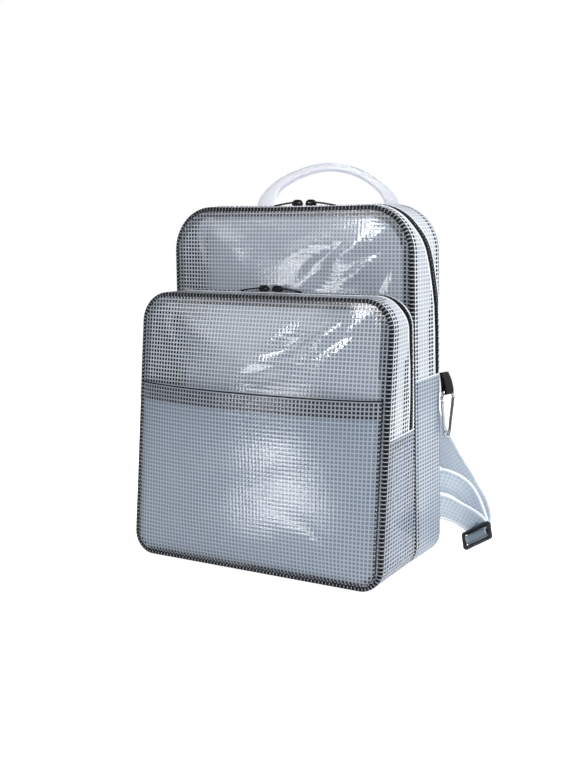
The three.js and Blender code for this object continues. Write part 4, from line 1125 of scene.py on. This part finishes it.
for key, (seat, turn, body) in zipSeats.items():
    zipSlider(key + "_sliderShell", key + "_slider", seat, turn)
    softened(key + "_pullTag", key + "_pull", body, lacquer, pull["rounding"],
             {"from": seat[0], "reach": pull["length"] * turn, "fall": pull["fall"]})
print("zip sliders done")

hook = {"at": np.array([159.4, 36.5, 159.0]), "turn": 75, "wire": 1.8, "gate": 1.75,
        "gateFoot": np.array([-4.6, 0, -18.6]), "gateTip": np.array([-9.3, 0, 15.9]),
        "tipRound": 40, "tipShare": 0.6}
hookRows = [  # away from the bag, up
    (-9.4, 16.6), (-9.2, 20.5), (-6.2, 24.6), (0, 26.2), (6.4, 24.4), (9.9, 19), (9.4, 12), (6.4, -6),
    (3.7, -21.5), (0.2, -26), (-3.4, -23.4), (-4.4, -19.6)]
hookOut = np.array([math.cos(math.radians(hook["turn"])), math.sin(math.radians(hook["turn"])), 0])
hookTurn = np.stack([hookOut, [-hookOut[1], hookOut[0], 0], [0, 0, 1]])


# A rod along a line in the carabiner's own directions
def hookRod(heap, line, side, halfSide, halfOut, sides, power=2.0):
    side = np.broadcast_to(side, line.shape)
    out = np.cross(unit(np.gradient(line, axis=0)), side) @ hookTurn
    middle, side = hook["at"] + line @ hookTurn, side @ hookTurn
    rod(heap, middle, side, out, halfSide, halfOut, sides, 0, power)
    return middle, side, out


# Wire carabiner: one bent wire with a sprung wire gate across its opening
def carabiner():
    heap = Heap()
    rows = np.array([(a, 0, b) for a, b in hookRows], float)
    line = smoothLine(rows, 150)
    hookRod(heap, line, [0.0, 1, 0], hook["wire"], hook["wire"], 18)
    dress(heap.piece("carabinerWire", [steelWire]), "carabiner_body", "carabiner")
    heap = Heap()
    share = np.linspace(0, 1, 25)
    line = hook["gateFoot"] + (hook["gateTip"] - hook["gateFoot"]) * share[:, None]
    thick = hook["gate"] * np.clip(np.minimum(share, 1 - share) * hook["tipRound"] + hook["tipShare"], 0, 1)
    hookRod(heap, line, [0.0, 1, 0], thick, thick, 16)
    dress(heap.piece("carabinerGate", [steelWire]), "carabiner_gate", "gate")


carabiner()

tab = {"pivot": 25.6, "width": 12.5, "thick": 1.3, "loop": 3.6, "rise": 20, "inset": 4.6, "waist": 0.6,
       "bends": 11, "bendFrom": 20, "bendStep": 22, "endGap": 0.6, "stitchEdge": 4.6, "stitchLift": 0.6,
       "stitched": slice(2, 24), "stitch": 2.8, "thread": 0.28}


# Webbing loop sewn in the back seam, round the carabiner's wire
def sideTab():
    seam = tab["inset"] + tab["thick"]
    points = [(seam, tab["rise"]), (tab["loop"] + tab["waist"], tab["rise"] / 2)]
    for k in range(tab["bends"]):
        angle = math.radians(tab["bendFrom"] - tab["bendStep"] * k)
        points.append((tab["loop"] * math.cos(angle), tab["loop"] * math.sin(angle)))
    points += [(tab["waist"] - tab["loop"] / 2, tab["rise"] / 2),
               (seam - tab["thick"] - tab["endGap"], tab["rise"])]
    rows = np.array([(0, p, tab["pivot"] + q) for p, q in points])
    heap = Heap()
    middle, side, out = hookRod(heap, smoothLine(rows, 90), [1.0, 0, 0], tab["width"] / 2,
                                tab["thick"] / 2, 20, 5.0)
    sewn = tab["stitched"]
    for edge in (-tab["stitchEdge"], tab["stitchEdge"]):
        stitches(heap, (middle + side * edge + out * tab["stitchLift"])[sewn], out[sewn], tab["stitch"],
                 tab["thread"], 1)
    lower = np.linspace(baseRunEnd, zipStation, 200)
    heights = np.linspace(tail["middle"] - tail["high"], mainShape["zipEnd"] - tail["below"], 9)
    stations = np.interp(heights, outlineAt(mainShape, 0, lower)[1], lower)
    heap.strip([mainSide(stations, depths["main"] - reach, welt["behind"])
                for reach in tail["reaches"]], 0)
    dress(heap.piece("sideTabWebbing", [blackTape, darkStitch]), "side_tab")


sideTab()
print("hardware done")


# Camera as the photograph has it
def placeCamera():
    view = {"at": (0.6356, -1.0837, 0.3902), "yaw": 31.244, "rise": 9.21, "roll": -0.904, "lens": 52.46,
            "sensor": 36}
    yaw, rise, roll = [math.radians(view[k]) for k in ("yaw", "rise", "roll")]
    back = Vector((math.sin(yaw) * math.cos(rise), -math.cos(yaw) * math.cos(rise), math.sin(rise)))
    level = Vector((math.cos(yaw), math.sin(yaw), 0))
    up = back.cross(level)
    across = level * math.cos(roll) + up * math.sin(roll)
    upright = up * math.cos(roll) - level * math.sin(roll)
    data = bpy.data.cameras.new("photoCamera")
    data.lens, data.sensor_width = view["lens"], view["sensor"]
    camera = bpy.data.objects.new("photoCamera", data)
    camera.matrix_world = Matrix((across, upright, back)).transposed().to_4x4()
    camera.location = view["at"]
    bpy.context.scene.collection.objects.link(camera)
    bpy.context.scene.camera = camera


studio = {"seen": 1.0, "seenThroughFilm": 0.06, "fill": 0.24,  # strength of the white surroundings
          "floor": "#f4f4f4", "floorGlow": 0.8, "floorGlowHidden": 0.12,
          "floorRadius": 1050, "floorSides": 96, "floorDrop": 0.2}
lamps = [  # name, place, aim, width, height, watts, spread in degrees, whether it lights matt surfaces
    ("windowBox", (-0.82, -2.1, 0.94), (0, 0, 0.3), 0.32, 0.5, 11, 180, True),
    ("fillBox", (1.0, -2.3, 1.3), (0, 0, 0.2), 1.2, 1.2, 17, 180, True),
    ("lowBox", (-0.95, -1.9, 0.3), (0, 0, 0.25), 0.42, 0.3, 4, 180, False),
    ("floorCard", (-0.14, -0.5, 0.004), (-0.14045, -0.50089, 1), 0.13, 0.5, 2.2, 180, False),
    ("skyCard", (-1.35, -1.75, 0.95), (0, 0, 0.28), 0.8, 0.5, 3.2, 180, False),
    ("topBox", (0.2, 0.3, 1.9), (0, 0, 0.2), 1.8, 1.6, 10, 180, True),
    ("rightBox", (1.8, 0.2, 1.5), (0, 0, 0.3), 1.0, 1.2, 56, 180, True),
    ("leftBox", (-1.9, 0.5, 0.9), (0, 0, 0.2), 1.0, 1.4, 2, 180, True),
    ("handleSpot", (0.5, -1.0, 1.5), (0.02, 0.05, 0.47), 0.12, 0.08, 0.05, 14, True),
]


# Whether a ray is the camera's, and whether it has come through no film
def rayKind(tree):
    ray = addNode(tree, "ShaderNodeLightPath")
    bare = addNode(tree, "ShaderNodeMath", {0: ray.outputs["Transparent Depth"], 1: 0.5},
                   operation="LESS_THAN")
    return ray.outputs["Is Camera Ray"], bare


# Plain pale floor and soft boxes. White surroundings are seen directly, and dimmed behind the film.
def lightStudio():
    for name, place, aim, width, height, watts, spread, matt in lamps:
        data = bpy.data.lights.new(name, "AREA")
        data.shape, data.size, data.size_y, data.energy = "RECTANGLE", width, height, watts
        data.spread = math.radians(spread)
        lamp = bpy.data.objects.new(name, data)
        lamp.location = place
        lamp.rotation_euler = (Vector(aim) - Vector(place)).to_track_quat("-Z", "Y").to_euler()
        lamp.visible_camera = False
        lamp.visible_diffuse = matt
        bpy.context.scene.collection.objects.link(lamp)
    world = bpy.data.worlds.new("studio")
    world.use_nodes = True
    tree = world.node_tree
    tree.nodes.clear()
    seen, bare = rayKind(tree)
    shown = addNode(tree, "ShaderNodeMapRange", {"Value": bare, "To Min": studio["seenThroughFilm"],
                                                 "To Max": studio["seen"]})
    strength = addNode(tree, "ShaderNodeMapRange", {"Value": seen, "To Min": studio["fill"], "To Max": shown})
    sky = addNode(tree, "ShaderNodeBackground", {"Color": (1, 1, 1, 1), "Strength": strength})
    addNode(tree, "ShaderNodeOutputWorld", {"Surface": sky})
    bpy.context.scene.world = world
    material, tree, out = newMaterial("paintedStudioFloor")
    seen, bare = rayKind(tree)
    shown = addNode(tree, "ShaderNodeMath", {0: seen, 1: bare}, operation="MULTIPLY")
    shine = addNode(tree, "ShaderNodeMapRange", {"Value": shown, "To Min": studio["floorGlowHidden"],
                                                 "To Max": studio["floorGlow"]})
    paint = addNode(tree, "ShaderNodeBsdfPrincipled",
                    {"Base Color": linearColour(studio["floor"]), "Roughness": 0.8,
                     "Emission Color": (1, 1, 1, 1), "Emission Strength": shine})
    tree.links.new(paint.outputs[0], out.inputs["Surface"])
    turn = np.arange(studio["floorSides"]) / studio["floorSides"] * 2 * math.pi
    disc = np.stack([studio["floorRadius"] * np.cos(turn), studio["floorRadius"] * np.sin(turn),
                     0 * turn - studio["floorDrop"]], -1)
    floor = makePiece("studioFloor", disc, [list(range(studio["floorSides"]))], [material])
    bpy.context.scene.view_settings.view_transform = "Standard"
    bpy.context.scene.cycles.transparent_max_bounces = 24


placeCamera()
lightStudio()
print("camera and light set")
